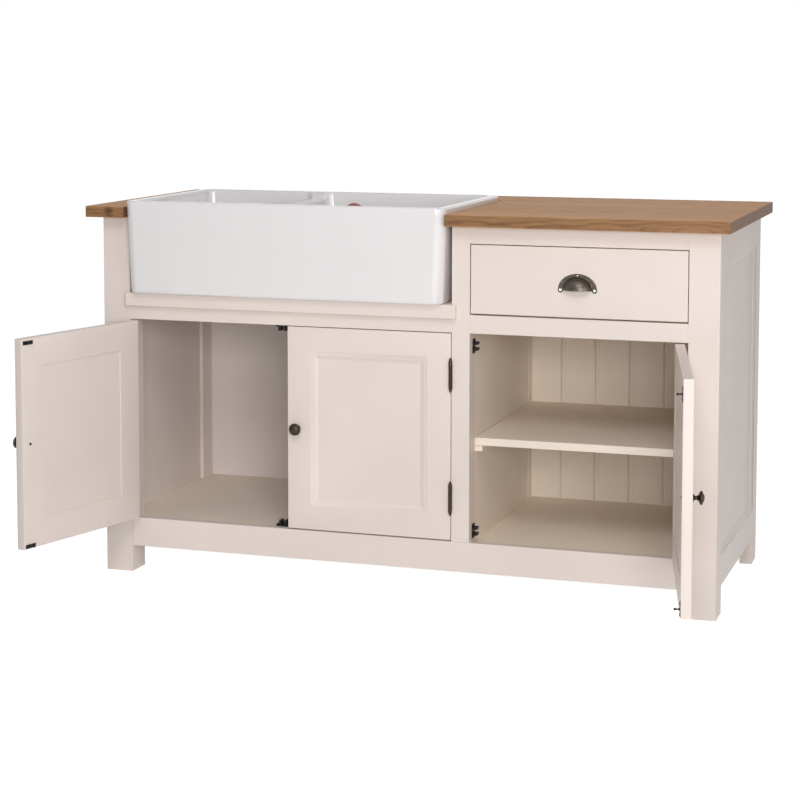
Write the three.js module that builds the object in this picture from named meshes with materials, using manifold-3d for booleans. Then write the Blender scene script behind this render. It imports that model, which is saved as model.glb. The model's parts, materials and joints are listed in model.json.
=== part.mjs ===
// Freestanding kitchen sink unit: a painted cupboard on four square legs, with a double-bowl glazed
// sink, two doors under it, and a drawer over a third door, all under a solid wood worktop.
// Millimetres, +Z up. Inside this file X runs from the carcass's left end, Y from the front face of
// its frame to the back, and Z from the floor; the last lines move the origin under the middle of
// the object's bounding box. The left and right doors stand open.
import * as THREE from 'three';
import { mergeVertices } from 'three/addons/utils/BufferGeometryUtils.js';
import Module from 'manifold-3d';

const wasm = await Module();
wasm.setup();

// Carcass: heights run down from the worktop's face and up from the floor.
const WIDTH = 1500;
const DEPTH = 620;
const TOP = 900;
const WORKTOP_THICK = 27;
const FRAME_TOP = TOP - WORKTOP_THICK;
const LEG = 70;
const REAR_LEG_WIDTH = 30;
const REAR_LEG_LAP = 18;
const REAR_LEG_FRONT = DEPTH - LEG - REAR_LEG_LAP;
const RAIL = 22;
const SINK_RAIL_DEPTH = 48;
const RAIL_BOTTOM = 65;
const FLOOR_TOP = 126;
const FLOOR_LIP = 9.5;
const DOORWAY_BOTTOM = FLOOR_TOP + FLOOR_LIP;
const TOP_RAIL = 41;
const DRAWER_BAY_TOP = FRAME_TOP - TOP_RAIL;
const DRAWER_BAY = 164.5;
const DRAWER_RAIL_TOP = DRAWER_BAY_TOP - DRAWER_BAY;
const DRAWER_RAIL = 42.5;
const DOORWAY_TOP = DRAWER_RAIL_TOP - DRAWER_RAIL;
const BOARD = 18;
const LEDGE = 13;
const REAR_RAIL = 20;
const REAR_RAIL_FRONT = DEPTH - REAR_RAIL;
const REAR_RAIL_HEIGHT = 60;
const RIGHT_LEG_LEFT = WIDTH - LEG;
const FIT_GAP = 0.3;

// Sink: it stands proud of the frame in front and above the worktop
const SINK_WIDTH = 802;
const SINK_DEPTH = 495;
const SINK_HEIGHT = 223;
const SINK_PROUD = 40;
const SINK_RISE = 14;
const SINK_LEG_GAP = 3;
const SINK_POST_GAP = 8;
const SINK_LEFT = LEG + SINK_LEG_GAP;
const SINK_RIGHT = SINK_LEFT + SINK_WIDTH;
const SINK_FRONT = -SINK_PROUD;
const SINK_BACK = SINK_FRONT + SINK_DEPTH;
const SINK_TOP = TOP + SINK_RISE;
const SINK_BOTTOM = SINK_TOP - SINK_HEIGHT;
const SINK_DRAFT = 8;
const SINK_CORNER = 25;
const SINK_WALL = 25;
const SINK_FLOOR = 26;
const BOWL_CORNER = 20;
const BOWL_DRAFT = 14;
const DIVIDER = 40;
const DIVIDER_DROP = 45;
const DIVIDER_LEFT_OF_MIDDLE = 69;
const WASTE_HOLE_R = 30;
const WASTE_SEAT_R = 44;
const WASTE_SEAT = 3;
const WASTE_NUT_R = 34;
const WASTE_NUT = 12;
const WASTE_TAIL_R = 23.9;
const WASTE_TAIL = 26;
const OVERFLOW_FROM_DIVIDER = 92;
const OVERFLOW_DOWN = 57;
const OVERFLOW_R = 28;
const OVERFLOW_DEEP = 15;

// Post between the cupboards, beside the sink
const POST_WIDTH = 43;
const POST_DEPTH = 45;
const POST_LEFT = SINK_RIGHT + SINK_POST_GAP;
const POST_RIGHT = POST_LEFT + POST_WIDTH;

// Framed sides
const SIDE_THICK = 20.5;
const SIDE_TOP_RAIL = 74;
const PANEL_FRONT = 8;
const BEAD_WIDTH = 17;
const BEAD_START = 1.5;
const BEAD_END = PANEL_FRONT - FIT_GAP;
const BEAD_STEPS = 4;
const BEAD_EASE = 0.7;

// Back boards
const PLAIN_BACK = 8;
const BOARDED_BACK = 12;
const FIRST_GROOVE = 76.8;
const GROOVE_PITCH = 88.5;
const GROOVE_WIDTH = 6;
const GROOVE_DEPTH = 3;
const BACK_TOP_GAP = 5;
const BACK_TOP = FRAME_TOP - BACK_TOP_GAP;

// Worktop
const OVERHANG_END = 27.5;
const OVERHANG_FRONT = 40;
const OVERHANG_BACK = 8;
const SINK_SIDE_GAP = 1;
const SINK_BACK_GAP = 4;
const CUTOUT_LEFT = SINK_LEFT - SINK_SIDE_GAP;
const CUTOUT_RIGHT = SINK_RIGHT + SINK_SIDE_GAP;
const CUTOUT_BACK = SINK_BACK + SINK_BACK_GAP;

// Apron under the sink, lapped over the leg and the post
const APRON_LAP_LEFT = 7;
const APRON_LAP_RIGHT = 12;
const APRON_LEFT = LEG - APRON_LAP_LEFT;
const APRON_RIGHT = POST_LEFT + APRON_LAP_RIGHT;
const APRON_THICK = 15;
const APRON_HEIGHT = 32.7;
const APRON_TOP = SINK_BOTTOM - FIT_GAP;
const APRON_BOTTOM = APRON_TOP - APRON_HEIGHT;

// Doors: inset, their faces flush with the frame
const DOOR_THICK = 22;
const DOOR_GAP = 2;
const DOOR_LOW_GAP = 3;
const PAIR_GAP = 3;
const STILE = 58;
const BACK_STILE = 67;
const PANEL_GROOVE = 8;
const GROOVE_INSET = STILE - PANEL_GROOVE;
const PANEL_THICK = 12;
const LEFT_OPEN = 105.4;
const RIGHT_OPEN = 102.2;
const RIGHT_OPEN_REACH = 501;

// Hinges: small butt hinges whose pins stand in front of the face
const PIN_OUT = 5.5;
const PIN_SIDE = DOOR_GAP / 2;
const BARREL_R = 4.6;
const PIN_R = 2.4;
const PIN_PLAY = 0.2;
const BORE_R = PIN_R + PIN_PLAY;
const LEAF_HEIGHT = 64;
const LEAF_THICK = 1.5;
const LEAF_SINK = 1.2;
const LEAF_WIDTH = 17;
const LEAF_REACH = PIN_OUT + LEAF_WIDTH;
const KNUCKLE = 22;
const KNUCKLE_GAP = 0.3;
const HINGE_FROM_END = 98;
const HINGE_Z = [DOORWAY_BOTTOM + HINGE_FROM_END, DOORWAY_TOP - HINGE_FROM_END];

// Knobs and drawer pull
const KNOB_Z = (DOORWAY_BOTTOM + DOORWAY_TOP) / 2;
const KNOB_INSET = 24;
const PULL_X = (POST_RIGHT + RIGHT_LEG_LEFT) / 2;
const PULL_ABOVE_RAIL = 66.5;
const PULL_Z = DRAWER_RAIL_TOP + PULL_ABOVE_RAIL;
const PULL_HALF_WIDTH = 45;
const PULL_RISE = 37;
const PULL_FLANGE = 2.2;
const LUG_R = 6.5;
const LUG_SPACING = 78;
const LUG_HOLE_R = 2;
const DOME_HALF_WIDTH = 33;
const DOME_RISE = 29;
const DOME_OUT = 24;
const DOME_SKIN = 2.4;

// Drawer
const DRAWER_FRONT_THICK = 20;
const DRAWER_FRONT_LOW_GAP = 3.5;
const DRAWER_SIDE_GAP = 5;
const DRAWER_BACK_GAP = 68;
const DRAWER_BOX_BACK = REAR_RAIL_FRONT - BOARDED_BACK - DRAWER_BACK_GAP;
const DRAWER_LOW_GAP = 6.5;
const DRAWER_HIGH_GAP = 20;
const DRAWER_BOX_BOTTOM = DRAWER_RAIL_TOP + DRAWER_LOW_GAP;
const DRAWER_BOX_TOP = DRAWER_BAY_TOP - DRAWER_HIGH_GAP;
const DRAWER_WALL = 12;
const DRAWER_BASE = 8;
const RUNNER = 20;
const RUNNER_HEIGHT = 22;

// Shelf and battens
const SHELF_RISE = 249;
const SHELF_TOP = FLOOR_TOP + SHELF_RISE;
const SHELF_SET_BACK = 1;
const SHELF_FRONT = POST_DEPTH + SHELF_SET_BACK;
const BATTEN_WIDTH = 18;
const BATTEN_HEIGHT = 15;
const BATTEN_SET_BACK = 6;

// Sink bearers: how far they reach under the sink, and their height
const BEARER_HOLD = 38;
const BEARER_HEIGHT = 45;

// Catches
const CATCH_LENGTH = 34;
const CATCH_DEPTH = 20;
const CATCH_PLATE = 2;
const CATCH_BODY = 20;
const CATCH_HEIGHT = 12;
const CATCH_SLOT = 7;
const LOW_PACKER = 12;
const HIGH_PACKER = 5;
const CATCH_SET_BACK = 2;
const CATCH_FRONT = DOOR_THICK + CATCH_SET_BACK;
const CATCH_OFFSET = 20;
const SIDE_CATCH_FROM_LOW = 22;
const SIDE_CATCH_FROM_HIGH = 33;

const PAINT = { color: 0xe9ddd0, roughness: 0.5, metalness: 0 };
const INNER_PAINT = { color: 0xd8c9b8, roughness: 0.6, metalness: 0 };
const BACK_PAINT = { color: 0xd6cfc8, roughness: 0.6, metalness: 0 };
const TIMBER = { color: 0xa06a38, roughness: 0.45, metalness: 0 };
const RAW_WOOD = { color: 0xcaa877, roughness: 0.7, metalness: 0 };
const GLAZE = { color: 0xece8e6, roughness: 0.1, metalness: 0 };
const BRONZE = { color: 0x3f342d, roughness: 0.4, metalness: 0.8 };
const PEWTER = { color: 0x5d554b, roughness: 0.35, metalness: 0.85 };
const CHROME = { color: 0xc9ccd0, roughness: 0.12, metalness: 1 };
const IRON = { color: 0x26211d, roughness: 0.5, metalness: 0.6 };

// A closed geometry with shared corners, no empty triangles, and its faces pointing out.
function closed(geometry) {
  const bare = new THREE.BufferGeometry();
  bare.setAttribute('position', geometry.getAttribute('position').clone());
  if (geometry.index) bare.setIndex(geometry.index.clone());
  const merged = mergeVertices(bare, 1e-4);
  const position = merged.getAttribute('position');
  const index = merged.index.array;
  const kept = [];
  const a = new THREE.Vector3();
  const b = new THREE.Vector3();
  const c = new THREE.Vector3();
  let volume = 0;
  for (let i = 0; i < index.length; i += 3) {
    const [p, q, r] = [index[i], index[i + 1], index[i + 2]];
    if (p === q || q === r || r === p) continue;
    kept.push(p, q, r);
    a.fromBufferAttribute(position, p);
    b.fromBufferAttribute(position, q);
    c.fromBufferAttribute(position, r);
    volume += a.dot(b.cross(c));
  }
  if (volume < 0) {
    for (let i = 0; i < kept.length; i += 3) {
      [kept[i + 1], kept[i + 2]] = [kept[i + 2], kept[i + 1]];
    }
  }
  const out = new THREE.BufferGeometry();
  out.setAttribute('position', position);
  out.setIndex(kept);
  return out;
}

function solid(geometry) {
  const g = closed(geometry);
  const vertProperties = new Float32Array(g.getAttribute('position').array);
  const triVerts = new Uint32Array(g.index.array);
  return new wasm.Manifold(new wasm.Mesh({ numProp: 3, vertProperties, triVerts }));
}

function fromSolid(manifold) {
  const mesh = manifold.getMesh();
  const g = new THREE.BufferGeometry();
  g.setAttribute('position', new THREE.BufferAttribute(new Float32Array(mesh.vertProperties), 3));
  g.setIndex(Array.from(mesh.triVerts));
  return g;
}

function cut(geometry, ...tools) {
  return fromSolid(tools.reduce((body, tool) => body.subtract(solid(tool)), solid(geometry)));
}

function join(geometry, ...others) {
  return fromSolid(others.reduce((body, other) => body.add(solid(other)), solid(geometry)));
}

function box(x0, x1, y0, y1, z0, z1) {
  const g = new THREE.BoxGeometry(x1 - x0, y1 - y0, z1 - z0);
  g.translate((x0 + x1) / 2, (y0 + y1) / 2, (z0 + z1) / 2);
  return g;
}

// An outline in Y and Z, run along X from x0 to x1.
function railOf(outline, x0, x1) {
  const shape = new THREE.Shape(outline.map(([y, z]) => new THREE.Vector2(y, z)));
  const g = new THREE.ExtrudeGeometry(shape, { depth: x1 - x0, bevelEnabled: false });
  const turn = new THREE.Matrix4().makeBasis(
    new THREE.Vector3(0, 1, 0),
    new THREE.Vector3(0, 0, 1),
    new THREE.Vector3(1, 0, 0),
  );
  g.applyMatrix4(turn);
  g.translate(x0, 0, 0);
  return g;
}

// A solid through closed rings of points, each ring with the same number of points.
function loft(rings) {
  const count = rings[0].length;
  const points = rings.flat();
  const faces = [];
  for (let i = 0; i + 1 < rings.length; i += 1) {
    for (let j = 0; j < count; j += 1) {
      const k = (j + 1) % count;
      const [a, b] = [i * count + j, i * count + k];
      faces.push(a, b, b + count, a, b + count, a + count);
    }
  }
  const last = (rings.length - 1) * count;
  for (let j = 1; j + 1 < count; j += 1) {
    faces.push(0, j + 1, j);
    faces.push(last, last + j, last + j + 1);
  }
  const g = new THREE.BufferGeometry();
  g.setAttribute('position', new THREE.Float32BufferAttribute(points.flat(), 3));
  g.setIndex(faces);
  return g;
}

// A level ring: a rectangle with round corners, seven points to each corner.
function ring(x0, x1, y0, y1, radius, z) {
  const steps = 6;
  const points = [];
  const corners = [
    [x1 - radius, y1 - radius, 0],
    [x0 + radius, y1 - radius, 90],
    [x0 + radius, y0 + radius, 180],
    [x1 - radius, y0 + radius, 270],
  ];
  for (const [cx, cy, start] of corners) {
    for (let i = 0; i <= steps; i += 1) {
      const a = THREE.MathUtils.degToRad(start + (90 * i) / steps);
      points.push([cx + radius * Math.cos(a), cy + radius * Math.sin(a), z]);
    }
  }
  return points;
}

// A rectangular frame with mitred corners. The section's points are [inset from the edge, depth];
// the frame lies in X and Z with its depth along Y.
function mitredFrame(x0, x1, z0, z1, section) {
  const rings = [
    [x0, z0, 1, 1],
    [x1, z0, -1, 1],
    [x1, z1, -1, -1],
    [x0, z1, 1, -1],
  ].map(([x, z, dx, dz]) => section.map(([inset, y]) => [x + dx * inset, y, z + dz * inset]));
  const count = section.length;
  const faces = [];
  for (let i = 0; i < 4; i += 1) {
    const next = ((i + 1) % 4) * count;
    for (let j = 0; j < count; j += 1) {
      const k = (j + 1) % count;
      faces.push(i * count + j, i * count + k, next + k, i * count + j, next + k, next + j);
    }
  }
  const g = new THREE.BufferGeometry();
  g.setAttribute('position', new THREE.Float32BufferAttribute(rings.flat(2), 3));
  g.setIndex(faces);
  return g;
}

// A turned shape about the vertical axis from [radius, height] points that start and end on it.
function turned(profile, segments) {
  const g = new THREE.LatheGeometry(profile.map(([r, h]) => new THREE.Vector2(r, h)), segments);
  g.rotateX(Math.PI / 2);
  return g;
}

function piece(parent, name, geometry, look) {
  const mesh = new THREE.Mesh(closed(geometry), new THREE.MeshStandardMaterial(look));
  mesh.name = name;
  parent.add(mesh);
  return mesh;
}

// Shallow beds for the hinge leaves, cut into an upright face at x that looks along the sign.
function leafBeds(x, sign, y) {
  return HINGE_Z.map((z) => {
    const deep = x - sign * (LEAF_SINK + FIT_GAP);
    const out = x + sign;
    const half = LEAF_HEIGHT / 2 + FIT_GAP;
    const [low, high] = [Math.min(deep, out), Math.max(deep, out)];
    return box(low, high, y - 1, y + LEAF_REACH - PIN_OUT + FIT_GAP, z - half, z + half);
  });
}

const unit = new THREE.Group();

// Legs and posts: a rear leg laps the side board on the inside.
function rearLeg(outer, sign) {
  const [inner, board] = [outer + sign * REAR_LEG_WIDTH, outer + sign * SIDE_THICK];
  const [x0, x1] = [Math.min(outer, inner), Math.max(outer, inner)];
  const [lap0, lap1] = [Math.min(board, inner), Math.max(board, inner)];
  return join(
    box(x0, x1, DEPTH - LEG, DEPTH, 0, FRAME_TOP),
    box(lap0, lap1, REAR_LEG_FRONT, DEPTH, RAIL_BOTTOM, FRAME_TOP),
  );
}

function legs() {
  const leftLeg = box(0, LEG, 0, LEG, 0, FRAME_TOP);
  piece(unit, 'leg_front_left', cut(leftLeg, ...leafBeds(LEG, 1, 0)), PAINT);
  const rightLeg = box(RIGHT_LEG_LEFT, WIDTH, 0, LEG, 0, FRAME_TOP);
  piece(unit, 'leg_front_right', cut(rightLeg, ...leafBeds(RIGHT_LEG_LEFT, -1, 0)), PAINT);
  piece(unit, 'leg_rear_left', rearLeg(0, 1), PAINT);
  piece(unit, 'leg_rear_right', rearLeg(WIDTH, -1), PAINT);
}

function posts() {
  const outline = [
    [0, DOORWAY_BOTTOM],
    [RAIL, DOORWAY_BOTTOM],
    [RAIL, FLOOR_TOP],
    [POST_DEPTH, FLOOR_TOP],
    [POST_DEPTH, FRAME_TOP],
    [0, FRAME_TOP],
  ];
  const front = railOf(outline, POST_LEFT, POST_RIGHT);
  piece(unit, 'post_front', cut(front, ...leafBeds(POST_LEFT, -1, 0)), PAINT);
  const y = REAR_RAIL_FRONT - POST_DEPTH;
  const rear = box(POST_LEFT, POST_RIGHT, y, REAR_RAIL_FRONT, FLOOR_TOP, FRAME_TOP);
  piece(unit, 'post_rear', rear, INNER_PAINT);
}

// Rails: the two bottom rails carry the floor on a ledge.
function rails() {
  const ledge = FLOOR_TOP - BOARD;
  const bottom = [
    [0, RAIL_BOTTOM],
    [RAIL + LEDGE, RAIL_BOTTOM],
    [RAIL + LEDGE, ledge],
    [RAIL, ledge],
    [RAIL, DOORWAY_BOTTOM],
    [0, DOORWAY_BOTTOM],
  ];
  piece(unit, 'rail_bottom_front', railOf(bottom, LEG, RIGHT_LEG_LEFT), PAINT);
  const rear = [
    [REAR_RAIL_FRONT - LEDGE, RAIL_BOTTOM],
    [DEPTH, RAIL_BOTTOM],
    [DEPTH, DOORWAY_BOTTOM],
    [REAR_RAIL_FRONT, DOORWAY_BOTTOM],
    [REAR_RAIL_FRONT, ledge],
    [REAR_RAIL_FRONT - LEDGE, ledge],
  ];
  const [rearLeft, rearRight] = [REAR_LEG_WIDTH, WIDTH - REAR_LEG_WIDTH];
  piece(unit, 'rail_bottom_rear', railOf(rear, rearLeft, rearRight), PAINT);
  const rearTop = FRAME_TOP - REAR_RAIL_HEIGHT;
  const topRear = box(rearLeft, rearRight, REAR_RAIL_FRONT, DEPTH, rearTop, FRAME_TOP);
  piece(unit, 'rail_top_rear', topRear, PAINT);
  const sinkRail = box(LEG, POST_LEFT, 0, SINK_RAIL_DEPTH, DOORWAY_TOP, SINK_BOTTOM);
  piece(unit, 'rail_under_sink', sinkRail, PAINT);
  const drawerRail = box(POST_RIGHT, RIGHT_LEG_LEFT, 0, RAIL, DOORWAY_TOP, DRAWER_RAIL_TOP);
  piece(unit, 'rail_under_drawer', drawerRail, PAINT);
  const topRail = box(POST_RIGHT, RIGHT_LEG_LEFT, 0, RAIL, DRAWER_BAY_TOP, FRAME_TOP);
  piece(unit, 'rail_top_front', topRail, PAINT);
  const apron = box(APRON_LEFT, APRON_RIGHT, -APRON_THICK, 0, APRON_BOTTOM, APRON_TOP);
  piece(unit, 'apron_board', apron, PAINT);
}

// Each side is one framed board between its legs: rails above and below, and a sunk panel whose
// edge slopes in all round.
function side(name, outer, sign) {
  const [y0, y1] = [LEG, DEPTH - LEG];
  const inner = outer + sign * SIDE_THICK;
  const board = box(Math.min(outer, inner), Math.max(outer, inner), y0, y1, RAIL_BOTTOM, FRAME_TOP);
  const sunk = [
    [-1, 0],
    [BEAD_START, 0],
    [BEAD_END, BEAD_WIDTH],
  ].map(([deep, inset]) => {
    const x = outer + sign * deep;
    const [low, high] = [DOORWAY_BOTTOM + inset, FRAME_TOP - SIDE_TOP_RAIL - inset];
    return [
      [x, y0 + inset, low],
      [x, y1 - inset, low],
      [x, y1 - inset, high],
      [x, y0 + inset, high],
    ];
  });
  piece(unit, name, cut(board, loft(sunk)), PAINT);
}

function floorAndBacks() {
  const [x0, x1] = [SIDE_THICK, WIDTH - SIDE_THICK];
  const floor = cut(
    box(x0, x1, RAIL, REAR_RAIL_FRONT, FLOOR_TOP - BOARD, FLOOR_TOP),
    box(-1, LEG, -1, LEG, 0, TOP),
    box(RIGHT_LEG_LEFT, WIDTH + 1, -1, LEG, 0, TOP),
    box(-1, REAR_LEG_WIDTH, REAR_LEG_FRONT, DEPTH, 0, TOP),
    box(WIDTH - REAR_LEG_WIDTH, WIDTH + 1, REAR_LEG_FRONT, DEPTH, 0, TOP),
  );
  piece(unit, 'floor_board', floor, INNER_PAINT);
  const plainFront = REAR_RAIL_FRONT - PLAIN_BACK;
  const plain = box(REAR_LEG_WIDTH, POST_LEFT, plainFront, REAR_RAIL_FRONT, FLOOR_TOP, BACK_TOP);
  piece(unit, 'back_plain', plain, BACK_PAINT);
  const front = REAR_RAIL_FRONT - BOARDED_BACK;
  const [left, right] = [POST_RIGHT, WIDTH - REAR_LEG_WIDTH];
  const outline = [new THREE.Vector2(left, front)];
  for (let x = left + FIRST_GROOVE; x < right - GROOVE_WIDTH; x += GROOVE_PITCH) {
    outline.push(new THREE.Vector2(x - GROOVE_WIDTH / 2, front));
    outline.push(new THREE.Vector2(x, front + GROOVE_DEPTH));
    outline.push(new THREE.Vector2(x + GROOVE_WIDTH / 2, front));
  }
  outline.push(new THREE.Vector2(right, front));
  outline.push(new THREE.Vector2(right, REAR_RAIL_FRONT));
  outline.push(new THREE.Vector2(left, REAR_RAIL_FRONT));
  const depth = BACK_TOP - FLOOR_TOP;
  const boards = new THREE.ExtrudeGeometry(new THREE.Shape(outline), { depth, bevelEnabled: false });
  boards.translate(0, 0, FLOOR_TOP);
  piece(unit, 'back_boarded', boards, INNER_PAINT);
}

function insides() {
  const partitionRight = POST_RIGHT - 1;
  const partitionLeft = partitionRight - BOARD;
  const rearPost = REAR_RAIL_FRONT - POST_DEPTH;
  const wall = box(partitionLeft, partitionRight, POST_DEPTH, rearPost, FLOOR_TOP, FRAME_TOP);
  piece(unit, 'partition', wall, INNER_PAINT);
  const rightInner = WIDTH - SIDE_THICK;
  const back = REAR_RAIL_FRONT - BOARDED_BACK;
  const shelf = cut(
    box(partitionRight, rightInner, SHELF_FRONT, back, SHELF_TOP - BOARD, SHELF_TOP),
    box(RIGHT_LEG_LEFT, WIDTH, 0, LEG, 0, TOP),
    box(WIDTH - REAR_LEG_WIDTH, WIDTH, REAR_LEG_FRONT, DEPTH, 0, TOP),
    box(POST_LEFT, POST_RIGHT, rearPost, DEPTH, 0, TOP),
  );
  piece(unit, 'shelf', shelf, INNER_PAINT);
  const high = SHELF_TOP - BOARD;
  const low = high - BATTEN_HEIGHT;
  const leftEnd = partitionRight + BATTEN_WIDTH;
  const battenFront = SHELF_FRONT + BATTEN_SET_BACK;
  const leftBatten = box(partitionRight, leftEnd, battenFront, rearPost, low, high);
  piece(unit, 'shelf_batten_left', leftBatten, INNER_PAINT);
  const battenLeft = rightInner - BATTEN_WIDTH;
  const rightBatten = box(battenLeft, rightInner, LEG, REAR_LEG_FRONT, low, high);
  piece(unit, 'shelf_batten_right', rightBatten, INNER_PAINT);
  const bearerLow = SINK_BOTTOM - BEARER_HEIGHT;
  const leftEdge = SINK_LEFT + BEARER_HOLD;
  const leftBearer = box(SIDE_THICK, leftEdge, LEG, REAR_LEG_FRONT, bearerLow, SINK_BOTTOM);
  piece(unit, 'sink_bearer_left', leftBearer, RAW_WOOD);
  const rightEdge = SINK_RIGHT - BEARER_HOLD;
  const bearerFront = Math.max(SINK_RAIL_DEPTH, POST_DEPTH);
  const rightBearer = box(rightEdge, partitionLeft, bearerFront, rearPost, bearerLow, SINK_BOTTOM);
  piece(unit, 'sink_bearer_right', rightBearer, RAW_WOOD);
  const runTop = DRAWER_BOX_BOTTOM - FIT_GAP;
  const runLow = runTop - RUNNER_HEIGHT;
  const runLeft = box(POST_RIGHT, POST_RIGHT + RUNNER, RAIL, back, runLow, runTop);
  piece(unit, 'drawer_runner_left', runLeft, RAW_WOOD);
  const runRight = box(RIGHT_LEG_LEFT - RUNNER, RIGHT_LEG_LEFT, RAIL, back, runLow, runTop);
  piece(unit, 'drawer_runner_right', runRight, RAW_WOOD);
}

// One slab of worktop, open at the front where the sink stands.
function worktop() {
  const [x0, x1] = [-OVERHANG_END, WIDTH + OVERHANG_END];
  const [y0, y1] = [-OVERHANG_FRONT, DEPTH + OVERHANG_BACK];
  const outline = [
    [x0, y0],
    [CUTOUT_LEFT, y0],
    [CUTOUT_LEFT, CUTOUT_BACK],
    [CUTOUT_RIGHT, CUTOUT_BACK],
    [CUTOUT_RIGHT, y0],
    [x1, y0],
    [x1, y1],
    [x0, y1],
  ].map(([x, y]) => new THREE.Vector2(x, y));
  const slab = new THREE.ExtrudeGeometry(new THREE.Shape(outline), {
    depth: WORKTOP_THICK,
    bevelEnabled: false,
  });
  slab.translate(0, 0, FRAME_TOP);
  piece(unit, 'worktop', slab, TIMBER);
}

// The bowls' plan limits, left to right: the left bowl is the smaller.
const DIVIDER_X = (SINK_LEFT + SINK_RIGHT) / 2 - DIVIDER_LEFT_OF_MIDDLE;
const BOWLS = [
  [SINK_LEFT + SINK_WALL, DIVIDER_X - DIVIDER / 2],
  [DIVIDER_X + DIVIDER / 2, SINK_RIGHT - SINK_WALL],
];
const BOWL_FRONT = SINK_FRONT + SINK_WALL;
const BOWL_BACK = SINK_BACK - SINK_WALL;
const BOWL_FLOOR = SINK_BOTTOM + SINK_FLOOR;
const WASTE_Y = (BOWL_FRONT + BOWL_BACK) / 2;

function sinkRing(inset, z, corner) {
  const x0 = SINK_LEFT + inset;
  const x1 = SINK_RIGHT - inset;
  const y0 = SINK_FRONT + inset * 0.7;
  return ring(x0, x1, y0, SINK_BACK - inset, corner, z);
}

function bowl([x0, x1]) {
  const at = (inset, corner, z) => {
    return ring(x0 + inset, x1 - inset, BOWL_FRONT + inset, BOWL_BACK - inset, corner, z);
  };
  return loft([
    at(BOWL_DRAFT + 26, BOWL_CORNER - 12, BOWL_FLOOR),
    at(BOWL_DRAFT + 10, BOWL_CORNER - 8, BOWL_FLOOR + 5),
    at(BOWL_DRAFT + 2, BOWL_CORNER - 5, BOWL_FLOOR + 16),
    at(BOWL_DRAFT * 0.8, BOWL_CORNER - 3, BOWL_FLOOR + 34),
    at(1.5, BOWL_CORNER - 1.5, SINK_TOP - 9),
    at(0, BOWL_CORNER, SINK_TOP - 4),
    at(-3, BOWL_CORNER + 3, SINK_TOP - 0.8),
    at(-5, BOWL_CORNER + 5, SINK_TOP + 1),
  ]);
}

function sink() {
  const body = loft([
    sinkRing(SINK_DRAFT + 7, SINK_BOTTOM, SINK_CORNER - 6),
    sinkRing(SINK_DRAFT + 2, SINK_BOTTOM + 2, SINK_CORNER - 2),
    sinkRing(SINK_DRAFT, SINK_BOTTOM + 8, SINK_CORNER),
    sinkRing(0, SINK_TOP - 5, SINK_CORNER),
    sinkRing(1.2, SINK_TOP - 1.6, SINK_CORNER - 1),
    sinkRing(4, SINK_TOP, SINK_CORNER - 3),
  ]);
  const tools = BOWLS.map(bowl);
  for (const [x0, x1] of BOWLS) {
    const seat = turned([[0, 0], [WASTE_SEAT_R, 0], [WASTE_SEAT_R, 12], [0, 12]], 32);
    seat.translate((x0 + x1) / 2, WASTE_Y, BOWL_FLOOR - WASTE_SEAT);
    const hole = turned([[0, -40], [WASTE_HOLE_R, -40], [WASTE_HOLE_R, 10], [0, 10]], 32);
    hole.translate((x0 + x1) / 2, WASTE_Y, BOWL_FLOOR - WASTE_SEAT);
    tools.push(seat, hole);
  }
  const low = SINK_TOP - DIVIDER_DROP;
  const [near, far] = [BOWL_FRONT + 30, BOWL_BACK - 30];
  tools.push(box(BOWLS[0][1] - 30, BOWLS[1][0] + 30, near, far, low, SINK_TOP + 5));
  const overflow = turned([[0, 0], [OVERFLOW_R, 0], [OVERFLOW_R, 40], [0, 40]], 24);
  overflow.rotateX(Math.PI / 2);
  const overflowX = DIVIDER_X + OVERFLOW_FROM_DIVIDER;
  overflow.translate(overflowX, BOWL_BACK + OVERFLOW_DEEP, SINK_TOP - OVERFLOW_DOWN);
  tools.push(overflow);
  piece(unit, 'sink', cut(body, ...tools), GLAZE);
}

// A flanged waste with its dish, outlet and back nut under the sink.
function wastes() {
  const nutTop = SINK_BOTTOM - FIT_GAP - (BOWL_FLOOR - WASTE_SEAT);
  const profile = [
    [0, 1],
    [WASTE_SEAT_R / 2, 0.4],
    [WASTE_SEAT_R - 6, 3],
    [WASTE_SEAT_R - 1.5, 3.2],
    [WASTE_SEAT_R - 1, FIT_GAP],
    [WASTE_HOLE_R - 1.5, FIT_GAP],
    [WASTE_HOLE_R - 1.5, nutTop],
    [WASTE_NUT_R, nutTop],
    [WASTE_NUT_R, nutTop - WASTE_NUT],
    [WASTE_TAIL_R, nutTop - WASTE_NUT],
    [WASTE_TAIL_R, nutTop - WASTE_NUT - WASTE_TAIL],
    [0, nutTop - WASTE_NUT - WASTE_TAIL],
  ];
  const names = ['waste_left', 'waste_right'];
  BOWLS.forEach(([x0, x1], i) => {
    const g = turned(profile, 48);
    g.translate((x0 + x1) / 2, WASTE_Y, BOWL_FLOOR - WASTE_SEAT);
    piece(unit, names[i], g, CHROME);
  });
}

// The pin, its finials, the end knuckles and the leaf that is let into the frame. The sign points
// from the pin to the frame's side.
function hingeFixed(sign) {
  const half = LEAF_HEIGHT / 2;
  const middle = KNUCKLE / 2;
  const finial = [[0, 9], [1.1, 7.6], [2.7, 5.6], [2.9, 4.4], [1.7, 3], [3.3, 1.9], [BARREL_R, 0]];
  const profile = [
    ...finial.map(([r, h]) => [r, -half - h]),
    [BARREL_R, -middle],
    [PIN_R, -middle],
    [PIN_R, middle],
    [BARREL_R, middle],
    ...finial.map(([r, h]) => [r, half + h]).reverse(),
  ];
  const x0 = sign * (PIN_SIDE + LEAF_SINK);
  const x1 = x0 - sign * LEAF_THICK;
  const [low, high] = [Math.min(x0, x1), Math.max(x0, x1)];
  return join(
    turned(profile, 12),
    box(low, high, PIN_OUT + 0.1, LEAF_REACH, -half, half),
    box(low, high, 0.6, LEAF_REACH, -half, -middle),
    box(low, high, 0.6, LEAF_REACH, middle, half),
  );
}

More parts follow.
